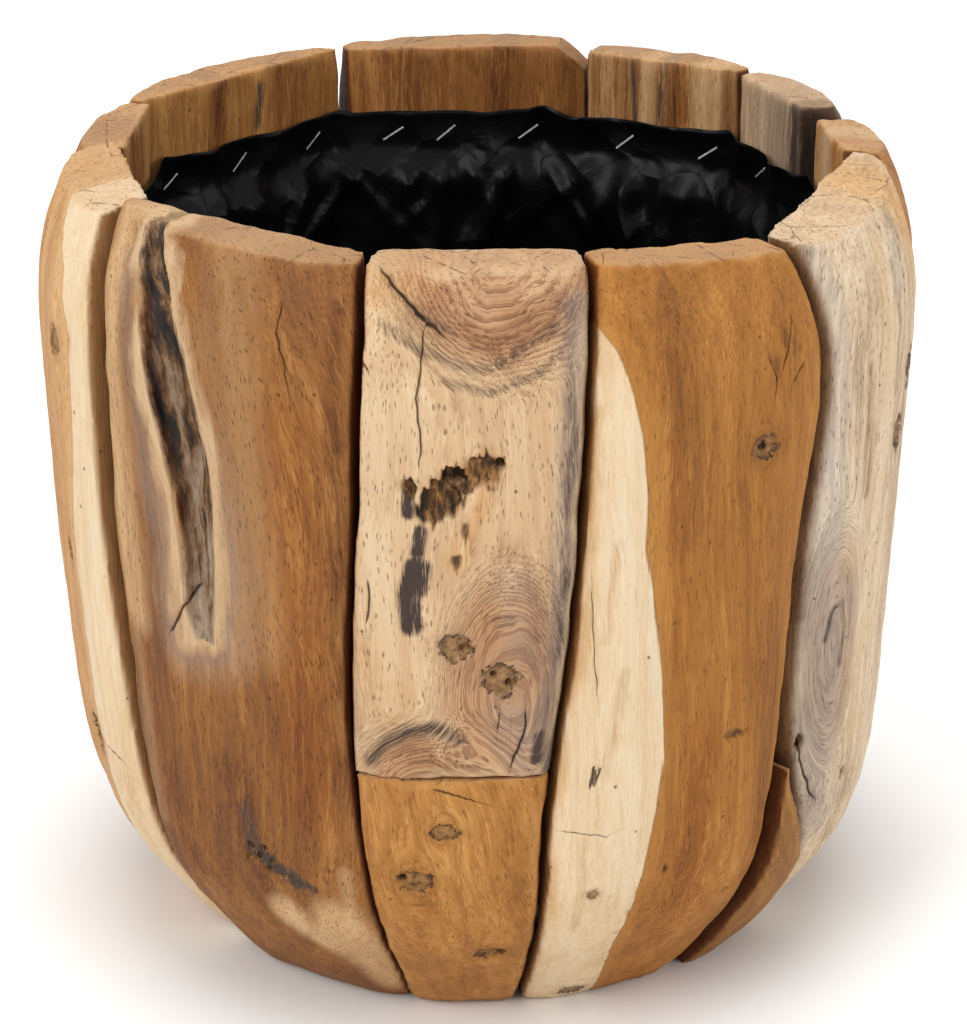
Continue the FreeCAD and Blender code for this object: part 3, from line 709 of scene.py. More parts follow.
def worn_edges(piece, face):
    """How sharply the surface turns outwards at each vertex, from 0 on a flat face to 1 on an edge."""
    ends = np.empty(len(piece.data.edges) * 2, np.int32)
    piece.data.edges.foreach_get("vertices", ends)
    a, b = ends.reshape(-1, 2).T
    near = np.maximum(np.bincount(a, minlength=face.count) + np.bincount(b, minlength=face.count), 1)

    def mean_near(values):
        """Mean of the values at the vertices next to each one."""
        return (np.bincount(a, values[b], face.count) + np.bincount(b, values[a], face.count)) / near

    pull = np.zeros(face.count)
    for places, normals in zip(face.places.T, face.normals.T):
        pull += (places - mean_near(places)) * normals
    edge = np.clip(pull / sharp_turn, 0, 1)
    for _ in range(edge_spread):
        edge = mean_near(edge)
    return np.clip(edge * edge_gain, 0, 1)


def nick_field(face, seed):
    """Where an edge is knocked off: broad nicks and small chips."""
    nicks = np.clip(waves(face, nick_size, seed + nick_seed) + nick_level, 0, 1) * nick_gain
    return nicks + chip_gain * np.clip(waves(face, chip_size, seed + chip_seed) + chip_level, 0, 1)


# %% Carve the slabs
wave_height, wave_size = 0.7, (22, 22, 70)
ripple_height, ripple_size = 0.4, (6, 6, 14)
crumble_share, crumble_size = 0.35, (2.2, 2.2, 2.6)
nick_depth = 0.8
bark_rise, bark_sink, bark_size, bark_seed = 2.4, 1.0, (5, 5, 17), 31
bark_edge = (-3.0, 0.5)
# A worn edge is a little pale where it has no nick.
plain_edge = 0.4
# Faces that look along the ring are sides, and they are darkened as painted shade in the gaps between slabs.
# Faces that look up or down are not.
shaded_side_facing, level_facing = (0.45, 0.85), (0.4, 0.7)
pieces = {}
for seed, node in enumerate(staves):
    piece = copied(node)
    divided(piece, near_marks(node, skin(piece)))
    face = skin(piece)
    hole_and_shade, hole_depth = hole_field(node, face)
    knot_distance, knot_depth = knot_field(node, face)
    crack_offset, crack_half, crack_depth = crack_field(node, face)
    ring, figure = rings(node, face)
    edge = worn_edges(piece, face)
    nicks = nick_field(face, seed)
    bark = pocket_field(node, face)
    push = wave_height * waves(face, wave_size, seed) + ripple_height * waves(face, ripple_size, -seed)
    push -= nick_depth * edge * nicks
    push -= hole_depth + knot_depth + crack_depth
    push -= crumble_share * knot_depth * waves(face, crumble_size, seed)
    push += (1 - fade(bark, *bark_edge)) * (bark_rise * waves(face, bark_size, bark_seed) - bark_sink)
    piece.data.vertices.foreach_set("co", ((face.places + push[:, None] * face.normals) * mm).ravel())
    # The side mark below is painted shade on faces that look sideways into the gaps between slabs.
    upright = 1 - fade(np.abs(face.normals[:, 2]), *level_facing)
    kept = {
        "grain": grain(node, face), "ring": ring, "figure": figure, "sap": sap_field(node, face),
        "knot": knot_distance, "hole": hole_and_shade, "edge": edge * (plain_edge + nicks),
        "crack_offset": crack_offset, "crack_half": crack_half, "bark": bark,
        "side": (1 - fade(np.abs(face.facing), *shaded_side_facing)) * upright,
    }
    for name, table in painted_tables.items():
        kept[name] = strokes(table, node, face)
    for name, values in kept.items():
        painted(piece, name, values)
    only(piece)
    bpy.ops.object.shade_smooth()
    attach(piece, "root")
    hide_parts(node)
    pieces[node] = piece
    print(piece.name, len(piece.data.polygons), "faces")

# %% [markdown]
# ## Old teak, sanded and left dry
# Sanded hardwood shows four things at once: rings, fine streaks along the grain, short dark pores, and
# slow changes of tone. All of them are drawn in real sizes on the piece's own coordinates, and then the
# marks are laid over them. Real pores are finer than these, which are as coarse as they need to be to show.
# Dry wood is rough, with a faint sheen.

# %% Patterns of the wood
# Slow noise bends the grain and drifts the tone.
drift_size, grain_bend = (30, 30, 110), 4.0
# Node, what it lies on, and size in mm across, through and along, with the detail of a noise.
patterns = {
    "streak": ("TexNoise", "grain", (3, 3, 90), {"Detail": 4.0, "Roughness": 0.6}),
    "band": ("TexNoise", "grain", (13, 13, 220), {"Detail": 2.0}),
    "fibre": ("TexNoise", "grain", (0.7, 0.7, 11), {"Detail": 2.0, "Roughness": 0.6}),
    "crust": ("TexNoise", "grain", (5.5, 5.5, 26), {"Detail": 5.0, "Roughness": 0.7}),
    "pore": ("TexVoronoi", "grain", (1.1, 1.1, 5.5), {}),
    "flake": ("TexNoise", "piece", (4, 4, 12), {"Detail": 4.0, "Roughness": 0.65}),
    "crumb": ("TexNoise", "piece", (10 / 3, 10 / 3, 10 / 3), {"Detail": 4.0, "Roughness": 0.65}),
    "saw": ("TexNoise", "piece", (6, 6, 6), {"Detail": 4.0, "Roughness": 0.7}),
    "lip": ("TexNoise", "piece", (20, 20, 55), {"Detail": 3.0}),
    "pin": ("TexVoronoi", "piece", (12, 12, 14), {}),
    "cut": ("TexVoronoi", "piece", (2.4, 2.4, 2.4), {}),
}
split_size = 34.0
kept_marks = ("figure", "sap", "knot", "hole", "crack_offset", "crack_half", "bark", "stain", "dark", "rust",
              "grey", "cream", "edge", "side")


def wood_patterns(tree):
    """The patterns of the wood and the marks that a slab keeps, by name."""
    made = {"place": millimetres(tree)}
    drift = add(tree, "Mapping", {"Vector": made["place"], "Scale": [1 / size for size in drift_size]})
    drift = add(tree, "TexNoise", {"Vector": drift, "Scale": 1.0, "Detail": 3.0}).node.outputs["Color"]
    bend, made["tone_drift"], made["red_drift"] = add(tree, "SeparateColor", {0: drift}).node.outputs
    bend = add(tree, "MapRange", {0: bend, 1: 0.3, 2: 0.7, 3: -grain_bend, 4: grain_bend})
    flow = add(tree, "Attribute", attribute_name="grain").node.outputs["Vector"]
    flow = add(tree, "VectorMath", {0: flow, 1: add(tree, "CombineXYZ", {0: bend})}, operation="ADD")
    for name, (kind, base, sizes, inputs) in patterns.items():
        place = flow if base == "grain" else made["place"]
        place = add(tree, "Mapping", {"Vector": place, "Scale": [1 / size for size in sizes]})
        made[name] = add(tree, kind, {"Vector": place, "Scale": 1.0, **inputs})
    for name in kept_marks:
        made[name] = add(tree, "Attribute", attribute_name=name).node.outputs["Fac"]
    ring = add(tree, "Attribute", attribute_name="ring").node.outputs["Fac"]
    made["ring"] = add(tree, "Math", {0: ring, 1: bend}, operation="ADD")
    made["ragged"] = add(tree, "MapRange", {0: made["streak"], 1: 0.3, 2: 0.7, 3: -0.8, 4: 0.8})
    return SimpleNamespace(**made)


print(len(patterns), "patterns and", len(kept_marks), "marks")

# %% Tone of the wood
# Rings are frayed by a share of their width and fainter outside whorls. They pull the tone down a little.
ring_fray, plain_rings, ring_pull = 0.45, 0.3, 0.15
pattern_share, tone_spread = 0.5, 0.27
# Where the four tones of heartwood and of sapwood lie between dark and light.
heart_steps, sap_steps = (0, 0.35, 0.65, 1), (0, 0.3, 0.6, 1)


def ring_shade(tree, w, ring_mm, ring_share):
    """Rings: each darkens slowly and ends in a sharp line. They show most in the whorls."""
    fray = ring_fray * ring_mm
    frayed = add(tree, "MapRange", {0: w.fibre, 1: 0.25, 2: 0.75, 3: -fray, 4: fray})
    turn = add(tree, "Math", {0: w.ring, 1: frayed}, operation="ADD")
    turn = add(tree, "Math", {0: turn, 1: 1 / ring_mm}, operation="MULTIPLY")
    turn = add(tree, "Math", {0: turn}, operation="FRACT")
    late = add(tree, "ValToRGB", {0: turn}, stops=((0, 0.15), (0.45, 0.1), (0.82, 1), (1, 0.15)))
    shown = add(tree, "MapRange", {0: w.figure, 3: plain_rings * ring_share, 4: ring_share})
    return add(tree, "Math", {0: late, 1: shown}, operation="MULTIPLY")


def wood_tone(tree, w, ring_mm, ring_share, streak_share):
    """Tone from 0, dark, to 1, light: streaks, fibres, slow drift and bands, less the rings."""
    tone = add(tree, "Math", {0: w.streak, 1: streak_share}, operation="MULTIPLY")
    others = (w.fibre, w.tone_drift, w.band)
    for other in others:
        tone = add(tree, "Math", {0: other, 1: pattern_share, 2: tone}, operation="MULTIPLY_ADD")
    late = ring_shade(tree, w, ring_mm, ring_share)
    tone = add(tree, "Math", {0: tone, 1: late}, operation="SUBTRACT")
    middle = 0.5 * (streak_share + pattern_share * len(others)) - ring_pull * ring_share
    return add(tree, "MapRange", {0: tone, 1: middle - tone_spread, 2: middle + tone_spread})


# %% Patches and sapwood
# Limits between which a patch fades in.
patch_limits = {"dark": (0.05, 0.85), "rust": (0.05, 0.85), "cream": (0.12, 0.8), "grey": (0.05, 0.85),
                "stain": (0.16, 0.6)}


def feathered(tree, w):
    """Patches of another tone, feathered along the grain, by name."""
    feather = add(tree, "Math", {0: w.streak, 1: w.fibre}, operation="ADD")
    feather = add(tree, "MapRange", {0: feather, 1: 0.7, 2: 1.3, 3: 0.6, 4: -0.6})
    patches = {}
    for name, (low, high) in patch_limits.items():
        mark = getattr(w, name)
        patch = add(tree, "Math", {0: feather, 1: mark, 2: mark}, operation="MULTIPLY_ADD")
        patches[name] = add(tree, "MapRange", {0: patch, 1: low, 2: high})
    return SimpleNamespace(**patches)


def patched(tree, w, colour, pale, patch):
    """Redder wood round old branches, then dark patches, some of them painted shade beside the gaps between
    slabs, then rusty and cream patches.
    """
    branch = add(tree, "Math", {0: w.figure, 1: w.red_drift}, operation="MULTIPLY")
    branch = add(tree, "MapRange", {0: branch, 1: 0.1, 2: 0.6, 3: 0, 4: 0.75})
    for share, tone in ((branch, "#d6b49e"), (patch.dark, "#a88a70"), (patch.rust, "#f2d8b0")):
        colour = add(tree, "Mix", {0: share, 6: colour, 7: tone}, data_type="RGBA", blend_type="MULTIPLY")
    return add(tree, "Mix", {0: patch.cream, 6: colour, 7: pale}, data_type="RGBA")


def with_sapwood(tree, w, colour, pale, heart):
    """Sapwood, a brown line where it meets the heartwood and an orange glow before it."""
    past = add(tree, "Math", {0: w.sap, 1: w.ragged}, operation="ADD")
    glow = add(tree, "MapRange", {0: past, 1: -9, 2: -0.5, 3: 0, 4: 0.45})
    in_sap = add(tree, "MapRange", {0: past, 1: -0.4, 2: 0.5})
    line = add(tree, "Math", {0: past}, operation="ABSOLUTE")
    line = add(tree, "MapRange", {0: line, 1: 0.9, 2: 0.1, 3: 0, 4: 0.5})
    for share, tone in ((glow, heart[3]), (in_sap, pale), (line, heart[0])):
        colour = add(tree, "Mix", {0: share, 6: colour, 7: tone}, data_type="RGBA")
    return colour, in_sap


# %% Pores, knots and bark
# Sapwood shows this share of the pores.
sap_pores = 0.3
# The halo of the bark pocket: how far it reaches, and the heights between which it fades in downwards.
halo_reach, halo_heights = 34.0, (300, 215)
# Bark is darker at the first height and greyer at the second.
bark_heights = (340, 200)


def pores_and_pins(tree, w, in_sap, pore_share):
    """Short dark dashes along the grain, and round pinholes that insects left."""
    chosen = add(tree, "SeparateColor", {0: w.pore.node.outputs["Color"]})
    chosen = add(tree, "MapRange", {0: chosen, 1: 0.3, 2: 0.8})
    fewer = add(tree, "MapRange", {0: in_sap, 3: pore_share, 4: sap_pores * pore_share})
    pores = add(tree, "MapRange", {0: w.pore, 1: 0.36, 2: 0.16})
    for share in (chosen, fewer):
        pores = add(tree, "Math", {0: pores, 1: share}, operation="MULTIPLY")
    pins = add(tree, "MapRange", {0: w.pin, 1: 0.07, 2: 0.045, 3: 0, 4: 0.7})
    return add(tree, "Math", {0: pores, 1: pins}, operation="MAXIMUM")


def with_knots(tree, w, colour, heart):
    """Knots: darker and duller than the wood round them, cracked, with a broken dark rim."""
    wobble = add(tree, "MapRange", {0: w.crumb, 1: 0.3, 2: 0.7, 3: -0.35, 4: 0.35})
    knot = add(tree, "Math", {0: w.knot, 1: wobble}, operation="ADD")
    inner = add(tree, "ValToRGB", {0: w.crumb}, stops=(
        (0.36, "#2d1b0d"), (0.44, "#73502c"), (0.58, "#a17a4c")))
    shade = add(tree, "MapRange", {0: knot, 1: 1.9, 2: 0.9, 3: 0, 4: 0.45})
    in_knot = add(tree, "MapRange", {0: knot, 1: 1.05, 2: 0.75, 3: 0, 4: 0.75})
    rim = add(tree, "Math", {0: knot, 1: 0.5}, operation="MULTIPLY")
    rim = add(tree, "ValToRGB", {0: rim}, stops=((0.38, 0), (0.44, 1), (0.47, 1), (0.52, 0)))
    broken = add(tree, "MapRange", {0: w.flake, 1: 0.38, 2: 0.52})
    rim = add(tree, "Math", {0: rim, 1: broken}, operation="MULTIPLY")
    for share, tone in ((shade, heart[0]), (in_knot, inner), (rim, "#2d1b0d")):
        colour = add(tree, "Mix", {0: share, 6: colour, 7: tone}, data_type="RGBA")
    return colour


def with_bark(tree, w, colour, pale, washed):
    """Bark that grew into the wood: charcoal, brown and grey flakes between pale lips, in a dull halo."""
    up = add(tree, "SeparateXYZ", {0: w.place}).node.outputs["Z"]
    wander = add(tree, "MapRange", {0: w.lip, 1: 0.3, 2: 0.7, 3: -4.5, 4: 6})
    wander = add(tree, "Math", {0: w.ragged, 1: 3.0, 2: wander}, operation="MULTIPLY_ADD")
    beside = add(tree, "Math", {0: w.bark, 1: wander}, operation="ADD")
    reach = add(tree, "MapRange", {0: beside, 1: 0, 2: halo_reach})
    rise = add(tree, "MapRange", {0: up, 1: halo_heights[0], 2: halo_heights[1]})
    fibrous = add(tree, "MapRange", {0: w.streak, 1: 0.36, 2: 0.6, 3: 0.25, 4: 0.9})
    halo = add(tree, "ValToRGB", {0: reach}, stops=((0, 0), (0.18, 0.2), (0.3, 0.85), (0.46, 0.5), (0.8, 0)))
    for share in (fibrous, rise):
        halo = add(tree, "Math", {0: halo, 1: share}, operation="MULTIPLY")
    halo_tone = add(tree, "Mix", {0: 0.8, 6: washed, 7: "#cbaa8a"}, data_type="RGBA")
    lips = add(tree, "MapRange", {0: beside, 1: 11, 2: 4, 3: 0, 4: 0.9})
    lip_tone = add(tree, "Mix", {0: 0.5, 6: pale, 7: "#d8bb97"}, data_type="RGBA")
    outline = add(tree, "ValToRGB", {0: reach}, stops=((0.24, 0), (0.31, 0.6), (0.36, 0.45), (0.46, 0)))
    outline = add(tree, "Math", {0: outline, 1: rise}, operation="MULTIPLY")
    greyer = add(tree, "MapRange", {0: up, 1: bark_heights[0], 2: bark_heights[1], 3: -0.07, 4: 0.09})
    crust = add(tree, "Math", {0: w.crust, 1: greyer}, operation="ADD")
    crust = add(tree, "ValToRGB", {0: crust}, stops=(
        (0.36, "#1f1814"), (0.45, "#4a3627"), (0.5, "#7a542f"), (0.56, "#8a735d"), (0.7, "#b09a82")))
    depth = add(tree, "Math", {0: w.ragged, 1: 2.0, 2: w.bark}, operation="MULTIPLY_ADD")
    in_bark = add(tree, "MapRange", {0: depth, 1: 1.2, 2: -1.2})
    for share, tone in ((halo, halo_tone), (lips, lip_tone), (outline, "#8f7261"), (in_bark, crust)):
        colour = add(tree, "Mix", {0: share, 6: colour, 7: tone}, data_type="RGBA")
    return colour


# %% Cracks, edges and sawn ends
def with_cracks(tree, w, colour, heart):
    """Cracks near black as painted shade in their slits, torn fibres darkened as painted shade in the holes,
    pale worn edges and painted shade on the sides that face into the gaps.
    """
    # Painted shade: the slit of a crack is coloured near black.
    gap = add(tree, "Math", {0: w.crack_offset}, operation="ABSOLUTE")
    gap = add(tree, "Math", {0: w.crack_half, 1: gap}, operation="SUBTRACT")
    crack = add(tree, "MapRange", {0: gap, 1: -0.1, 2: 0.3, 3: 0, 4: 0.85})
    # The inside of a hole: torn fibres, darkened as painted shade, more in deeper holes.
    hole = add(tree, "MapRange", {0: w.hole, 1: 0.1, 2: 0.6})
    torn = add(tree, "ValToRGB", {0: w.flake}, stops=((0.38, "#1f1208"), (0.5, "#563619"), (0.63, "#a37643")))
    rubbed = add(tree, "MapRange", {0: w.edge, 1: 0.25, 2: 0.9, 3: 0, 4: 0.35})
    for share, tone in ((crack, "#2a190d"), (hole, torn), (rubbed, heart[3])):
        colour = add(tree, "Mix", {0: share, 6: colour, 7: tone}, data_type="RGBA")
    # Painted shade: faces that look sideways into the gaps between slabs are darkened.
    side_shade = {0: w.side, 6: colour, 7: "#9a7a58"}
    return add(tree, "Mix", side_shade, data_type="RGBA", blend_type="MULTIPLY"), crack


def with_sawn_end(tree, w, colour):
    """End grain on top: paler and drier, with cut pores, drying splits and soil."""
    up = add(tree, "SeparateXYZ", {0: add(tree, "TexCoord").node.outputs["Normal"]}).node.outputs["Z"]
    end = add(tree, "MapRange", {0: up, 1: 0.55, 2: 0.9, 3: 0, 4: 0.45})
    cut = add(tree, "MapRange", {0: w.cut, 1: 0.3, 2: 0.14})
    # Drying splits are dark lines: painted shade in the open splits, which have no geometry.
    split = add(tree, "TexVoronoi", {"Vector": w.place, "Scale": 1 / split_size}, feature="DISTANCE_TO_EDGE")
    split = add(tree, "MapRange", {0: split, 1: 0.014, 2: 0.004})
    partly = add(tree, "MapRange", {0: w.saw, 1: 0.46, 2: 0.54})
    soil = add(tree, "MapRange", {0: w.saw, 1: 0.5, 2: 0.75, 3: 0, 4: 0.6})
    colour = add(tree, "Mix", {0: end, 6: colour, 7: "#cba478"}, data_type="RGBA")
    for mark, where, gain, tone in ((cut, w.saw, 2.4, "#5a3819"), (split, partly, 1.8, "#4a2d14")):
        for share in (where, end):
            mark = add(tree, "Math", {0: mark, 1: share}, operation="MULTIPLY")
        mark = add(tree, "Math", {0: mark, 1: gain}, operation="MULTIPLY", use_clamp=True)
        colour = add(tree, "Mix", {0: mark, 6: colour, 7: tone}, data_type="RGBA")
    soil = add(tree, "Math", {0: soil, 1: end}, operation="MULTIPLY")
    return add(tree, "Mix", {0: soil, 6: colour, 7: "#8a6238"}, data_type="RGBA")


# %% Wood material
wood_ior, wood_specular = 1.45, 0.35
relief_strength, relief_depth = 0.85, 0.5
fibre_relief, pore_relief, crack_relief = 0.6, -1.2, -2.0


def teak(name, heart, sap, ring_mm, ring_share, streak_share=0.55, pore_share=0.4, bark=False):
    """Weathered hardwood: four tones from dark to light for heartwood and four for sapwood."""
    material = bpy.data.materials.new(name)
    tree = bare(material)
    w = wood_patterns(tree)
    tone = wood_tone(tree, w, ring_mm, ring_share, streak_share)
    patch = feathered(tree, w)
    colour = add(tree, "ValToRGB", {0: tone}, stops=zip(heart_steps, heart))
    pale = add(tree, "ValToRGB", {0: tone}, stops=zip(sap_steps, sap))
    colour = patched(tree, w, colour, pale, patch)
    pale = add(tree, "Mix", {0: patch.rust, 6: pale, 7: "#c2935c"}, data_type="RGBA")
    colour, in_sap = with_sapwood(tree, w, colour, pale, heart)

    # Weather takes the warmth out of the wood, and damp leaves purple-black stains.
    washed = add(tree, "HueSaturation", {"Saturation": 0.62, "Value": 0.8, "Color": colour})
    washed = add(tree, "Mix", {0: 0.25, 6: washed, 7: "#a98d74"}, data_type="RGBA")
    pores = pores_and_pins(tree, w, in_sap, pore_share)
    for share, layer in ((patch.grey, washed), (patch.stain, "#45362f"), (pores, "#46280f")):
        colour = add(tree, "Mix", {0: share, 6: colour, 7: layer}, data_type="RGBA")
    colour = with_knots(tree, w, colour, heart)
    if bark:
        colour = with_bark(tree, w, colour, pale, washed)
    colour, crack = with_cracks(tree, w, colour, heart)
    colour = with_sawn_end(tree, w, colour)

    relief = w.streak
    for layer, height in ((w.fibre, fibre_relief), (pores, pore_relief), (crack, crack_relief)):
        relief = add(tree, "Math", {0: layer, 1: height, 2: relief}, operation="MULTIPLY_ADD")
    bump = add(tree, "Bump", {"Strength": relief_strength, "Distance": relief_depth * mm, "Height": relief})
    gloss = add(tree, "MapRange", {0: tone, 3: 0.54, 4: 0.7})
    finish = add(tree, "BsdfPrincipled", {"Base Color": colour, "Roughness": gloss, "Normal": bump,
                                          "IOR": wood_ior, "Specular IOR Level": wood_specular})
    add(tree, "OutputMaterial", {"Surface": finish})
    return material


# %% Wood on every slab
brown = ("#683c1a", "#825024", "#95602c", "#b47d44")
orange_brown = ("#82501c", "#a06627", "#b17433", "#c88d44")
light_orange = ("#8a5825", "#a86e31", "#bb8040", "#d09a55")
dark_orange = ("#6b431c", "#8a5a2a", "#9d6a34", "#b98447")
warm_brown = ("#74481f", "#95612f", "#ab743b", "#c89250")
pinkish = ("#b08a68", "#cfa981", "#dcb88e", "#e8cba3")
tan = ("#a8733f", "#c8935a", "#d6a66f", "#e2b987")
dull_tan = ("#8f6034", "#b07b46", "#c1905a", "#d2a672")
weathered = ("#ad9176", "#d8bb98", "#ead0af", "#f6e2c6")
greyish = ("#7d614a", "#ac8a69", "#c4a17c", "#d8b994")
striped = ("#5d391b", "#8a5a30", "#a0703f", "#c59a68")
cream_sap = ("#d6b382", "#e6c69b", "#edd3ae", "#f3dfc0")
tan_sap = ("#b5895b", "#cba06f", "#dab383", "#e8c89c")
# Tones of heartwood and sapwood, width of the rings in mm and how strongly they show.
wood = {
    front_left: teak("teak_brown_with_bark", brown, tan_sap, 5.0, 0.3, pore_share=0.6, bark=True),
    front: teak("teak_pale_figured", pinkish, cream_sap, 5.2, 0.7, pore_share=0.6),
    foot: teak("teak_light_orange", light_orange, cream_sap, 6.5, 0.5),
    front_right: teak("teak_orange_with_sapwood", orange_brown, cream_sap, 7.0, 0.3),
    right_front: teak("teak_dry_cream", weathered, cream_sap, 5.5, 0.25, streak_share=0.85, pore_share=0.55),
    filler: teak("teak_brown_wedge", dark_orange, cream_sap, 6.0, 0.4),
    right: teak("teak_tan_right", dull_tan, cream_sap, 4.0, 0.5),
    right_back: teak("teak_grey", greyish, cream_sap, 4.0, 0.6),
    back_right: teak("teak_striped", striped, tan_sap, 5.5, 0.6, streak_share=0.8),
    back: teak("teak_brown_back", brown, cream_sap, 4.5, 0.6),
    back_left: teak("teak_mottled", warm_brown, cream_sap, 5.0, 0.5),
    left_back: teak("teak_tan_left", dull_tan, cream_sap, 4.0, 0.4),
    left: teak("teak_tan_with_sapwood", tan, cream_sap, 5.0, 0.3),
}
for node, piece in pieces.items():
    piece.data.materials.append(wood[node])
print(len(wood), "wood finishes")

# %% [markdown]
# ## The film liner
# The liner is one cut of black polythene film, rolled to a tube, gathered over the base and stapled to the
# wood below its edge. A flat grid is rolled up in code, because a grid has even faces for the creases.
# Between the staples the film sags inwards, and from each staple tight folds run down. The film only moves
# inwards from the wall, so it stays clear of the wood.

# %% Film liner
face_angles = np.array((0, 29, 65, 96, 112, 154, 183, 227.3, 264.5, 285.5, 324))
wall_apothem, neck_apothem = 154.7, 159.2
film_bottom, film_top, neck_low, neck_high = 62.9, 338.0, 304.0, 318.0
film_thickness, film_merge_gap = 0.3, 0.02
columns, wall_rows, bottom_rows = 420, 86, 10
staple_height = film_top - 12.0
# Legs of one staple are closer than this angle, and staples are further apart.
staple_gap = 4.7
corner_softness = 420.0

bpy.ops.object.select_all(action="DESELECT")
bpy.ops.mesh.primitive_grid_add(x_subdivisions=columns, y_subdivisions=wall_rows + bottom_rows, size=1.0)
film = bpy.context.object
film.name = "film_liner"
count = len(film.data.vertices)
sheet = np.empty(count * 3, np.float32)
film.data.vertices.foreach_get("co", sheet)
sheet = sheet.reshape(-1, 3).astype(float) + 0.5
turns = sheet[:, 0] * 360.0
rows = (1.0 - sheet[:, 1]) * (wall_rows + bottom_rows)
down = np.clip(rows / wall_rows, 0, 1)
inward = np.clip((rows - wall_rows) / bottom_rows, 0, 1)
heights = film_top + (film_bottom - film_top) * down

corners = np.cos(np.radians(turns[:, None] - face_angles))
widest = np.log(np.exp(corners * corner_softness).sum(1)) / corner_softness
apothem = np.interp(heights, (neck_low, neck_high), (wall_apothem, neck_apothem))
radius = np.minimum(apothem / widest, apothem / corners.max(1))

staple_points = np.array([v.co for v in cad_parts["liner_staples"].data.vertices]) / mm
staple_turns = np.sort(np.degrees(np.arctan2(staple_points[:, 0], -staple_points[:, 1])) % 360)
gaps = np.where(np.diff(staple_turns) > staple_gap)[0]
staple_turns = np.array([legs.mean() for legs in np.split(staple_turns, gaps + 1)])
print("film held by", len(staple_turns), "staples")

# %% Folds from the staples
# Each staple starts three folds: lean, width, depth and length.
staple_folds = ((-0.55, 3.4, 3.0, 90), (0.15, 4.2, 3.6, 150), (0.8, 3.4, 2.6, 80))
fold_sway, fold_widening, fold_start = 0.35, 0.03, (2.0, 24.0)
pin_reach = (7.0, 26.0)

nearest = np.abs(turned(turns[:, None] - staple_turns, 0)).min(1)
pinned = 1 - fade(np.hypot(np.radians(nearest) * wall_apothem, heights - staple_height), *pin_reach)
below = staple_height - heights
sag = np.zeros(count)
for i, angle in enumerate(staple_turns):
    side = np.radians(turned(turns - angle, 0)) * wall_apothem
    for lean, width, depth, length in staple_folds:
        lean = lean + fold_sway * math.sin(i * 2.3 + lean * 5)
        fold = np.exp(-((side - lean * below) / (width + fold_widening * np.abs(below))) ** 2)
        sag += depth * fold * fade(below, *fold_start) * (1 - fade(below, 0.3 * length, length))
print("folds up to", round(sag.max(), 1), "mm deep")

# %% Creases in the film
crumple_size, ridge_size, facet_size = 34.0, (42, 42, 90), (34, 34, 70)
crumple_height, ridge_height, facet_height = 0.7, 3.4, 4.2
wall_gap, lip_height, lip_curl = 0.4, 5.0, 1.3
base_ridge = 2.2
# The edge stands up in the corners of the wall and droops between staples.
edge_reach, corner_rise, corner_width = 40.0, 2.0, 2.2
edge_droop, droop_start, droop_end = 0.8, 2.0, 8.0

rolled = around(turns, wall_apothem, heights)
crumple = np.array([noise.multi_fractal(Vector(p / crumple_size), 1.0, 2.0, 3) for p in rolled])
ridges = np.array([1 - abs(noise.noise(Vector(p))) * 2 for p in rolled / np.array(ridge_size)])
facets = np.array([noise.voronoi(Vector(p))[0][1] for p in rolled / np.array(facet_size)])
ridges = np.clip(ridges, 0, 1)
creases = crumple_height * np.clip(crumple - 0.6, 0, 1.6) + ridge_height * ridges ** 4
sag += creases + facet_height * np.clip(facets - 0.3, 0, 0.8)
sag = sag * (1 - pinned) * (1 - 0.6 * inward) + wall_gap
lip = fade(heights, film_top - lip_height, film_top)
radius = (radius - sag - lip_curl * lip) * (1 - inward)
heights = heights + base_ridge * ridges ** 2 * (inward > 0) * fade(1 - inward, 0.0, 0.3)
corner_turns = (face_angles + np.append(face_angles[1:], face_angles[0] + 360)) / 2
off_corner = np.abs(turned(turns[:, None] - corner_turns, 0)).min(1)
stand = corner_rise * np.exp(-(off_corner / corner_width) ** 2)
stand -= edge_droop * fade(nearest, droop_start, droop_end)
heights = heights + fade(heights, film_top - edge_reach, film_top) * stand
rolled = around(turns, radius, heights) * mm
film.data.vertices.foreach_set("co", rolled.ravel().astype(np.float32))
merged(film, film_merge_gap * mm, turn_inside=True)
shape(film, "SOLIDIFY", thickness=film_thickness * mm, offset=1.0)
only(film)
bpy.ops.object.shade_smooth()
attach(film, "root")
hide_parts("liner")
print(film.name, len(film.data.polygons), "faces")

# %% [markdown]
# ## Polythene film
# Polythene film is smooth and waxy: black with a soft sheen, finely crumpled where it was folded, and a
# little dusty. Its sheen differs with the dust, and a bump draws the creases that are too fine for the mesh.

# %% Film material
crease_size, dust_size = 24.0, 40.0
crease_strength, crease_depth = 0.7, 6.0
film_ior, film_specular = 1.51, 0.1

polythene = bpy.data.materials.new("polythene_film_black")
tree = bare(polythene)
place = millimetres(tree)
crush = add(tree, "TexNoise", {"Vector": place, "Scale": 1 / crease_size, "Detail": 3.0, "Distortion": 0.8})
fold = add(tree, "TexVoronoi", {"Vector": place, "Scale": 1 / crease_size})
crush = add(tree, "Math", {0: crush, 1: 0.3, 2: fold}, operation="MULTIPLY_ADD")
bump = add(tree, "Bump", {"Strength": crease_strength, "Distance": crease_depth * mm, "Height": crush})
dust = add(tree, "TexNoise", {"Vector": place, "Scale": 1 / dust_size, "Detail": 4.0})
colour = add(tree, "ValToRGB", {0: dust}, stops=((0.35, "#050506"), (0.7, "#0c0d0e")))
gloss = add(tree, "MapRange", {0: dust, 1: 0.3, 2: 0.7, 3: 0.26, 4: 0.36})
finish = add(tree, "BsdfPrincipled", {"Base Color": colour, "Roughness": gloss, "Normal": bump,
                                      "IOR": film_ior, "Specular IOR Level": film_specular})
add(tree, "OutputMaterial", {"Surface": finish})
film.data.materials.append(polythene)
print("film of", polythene.name)

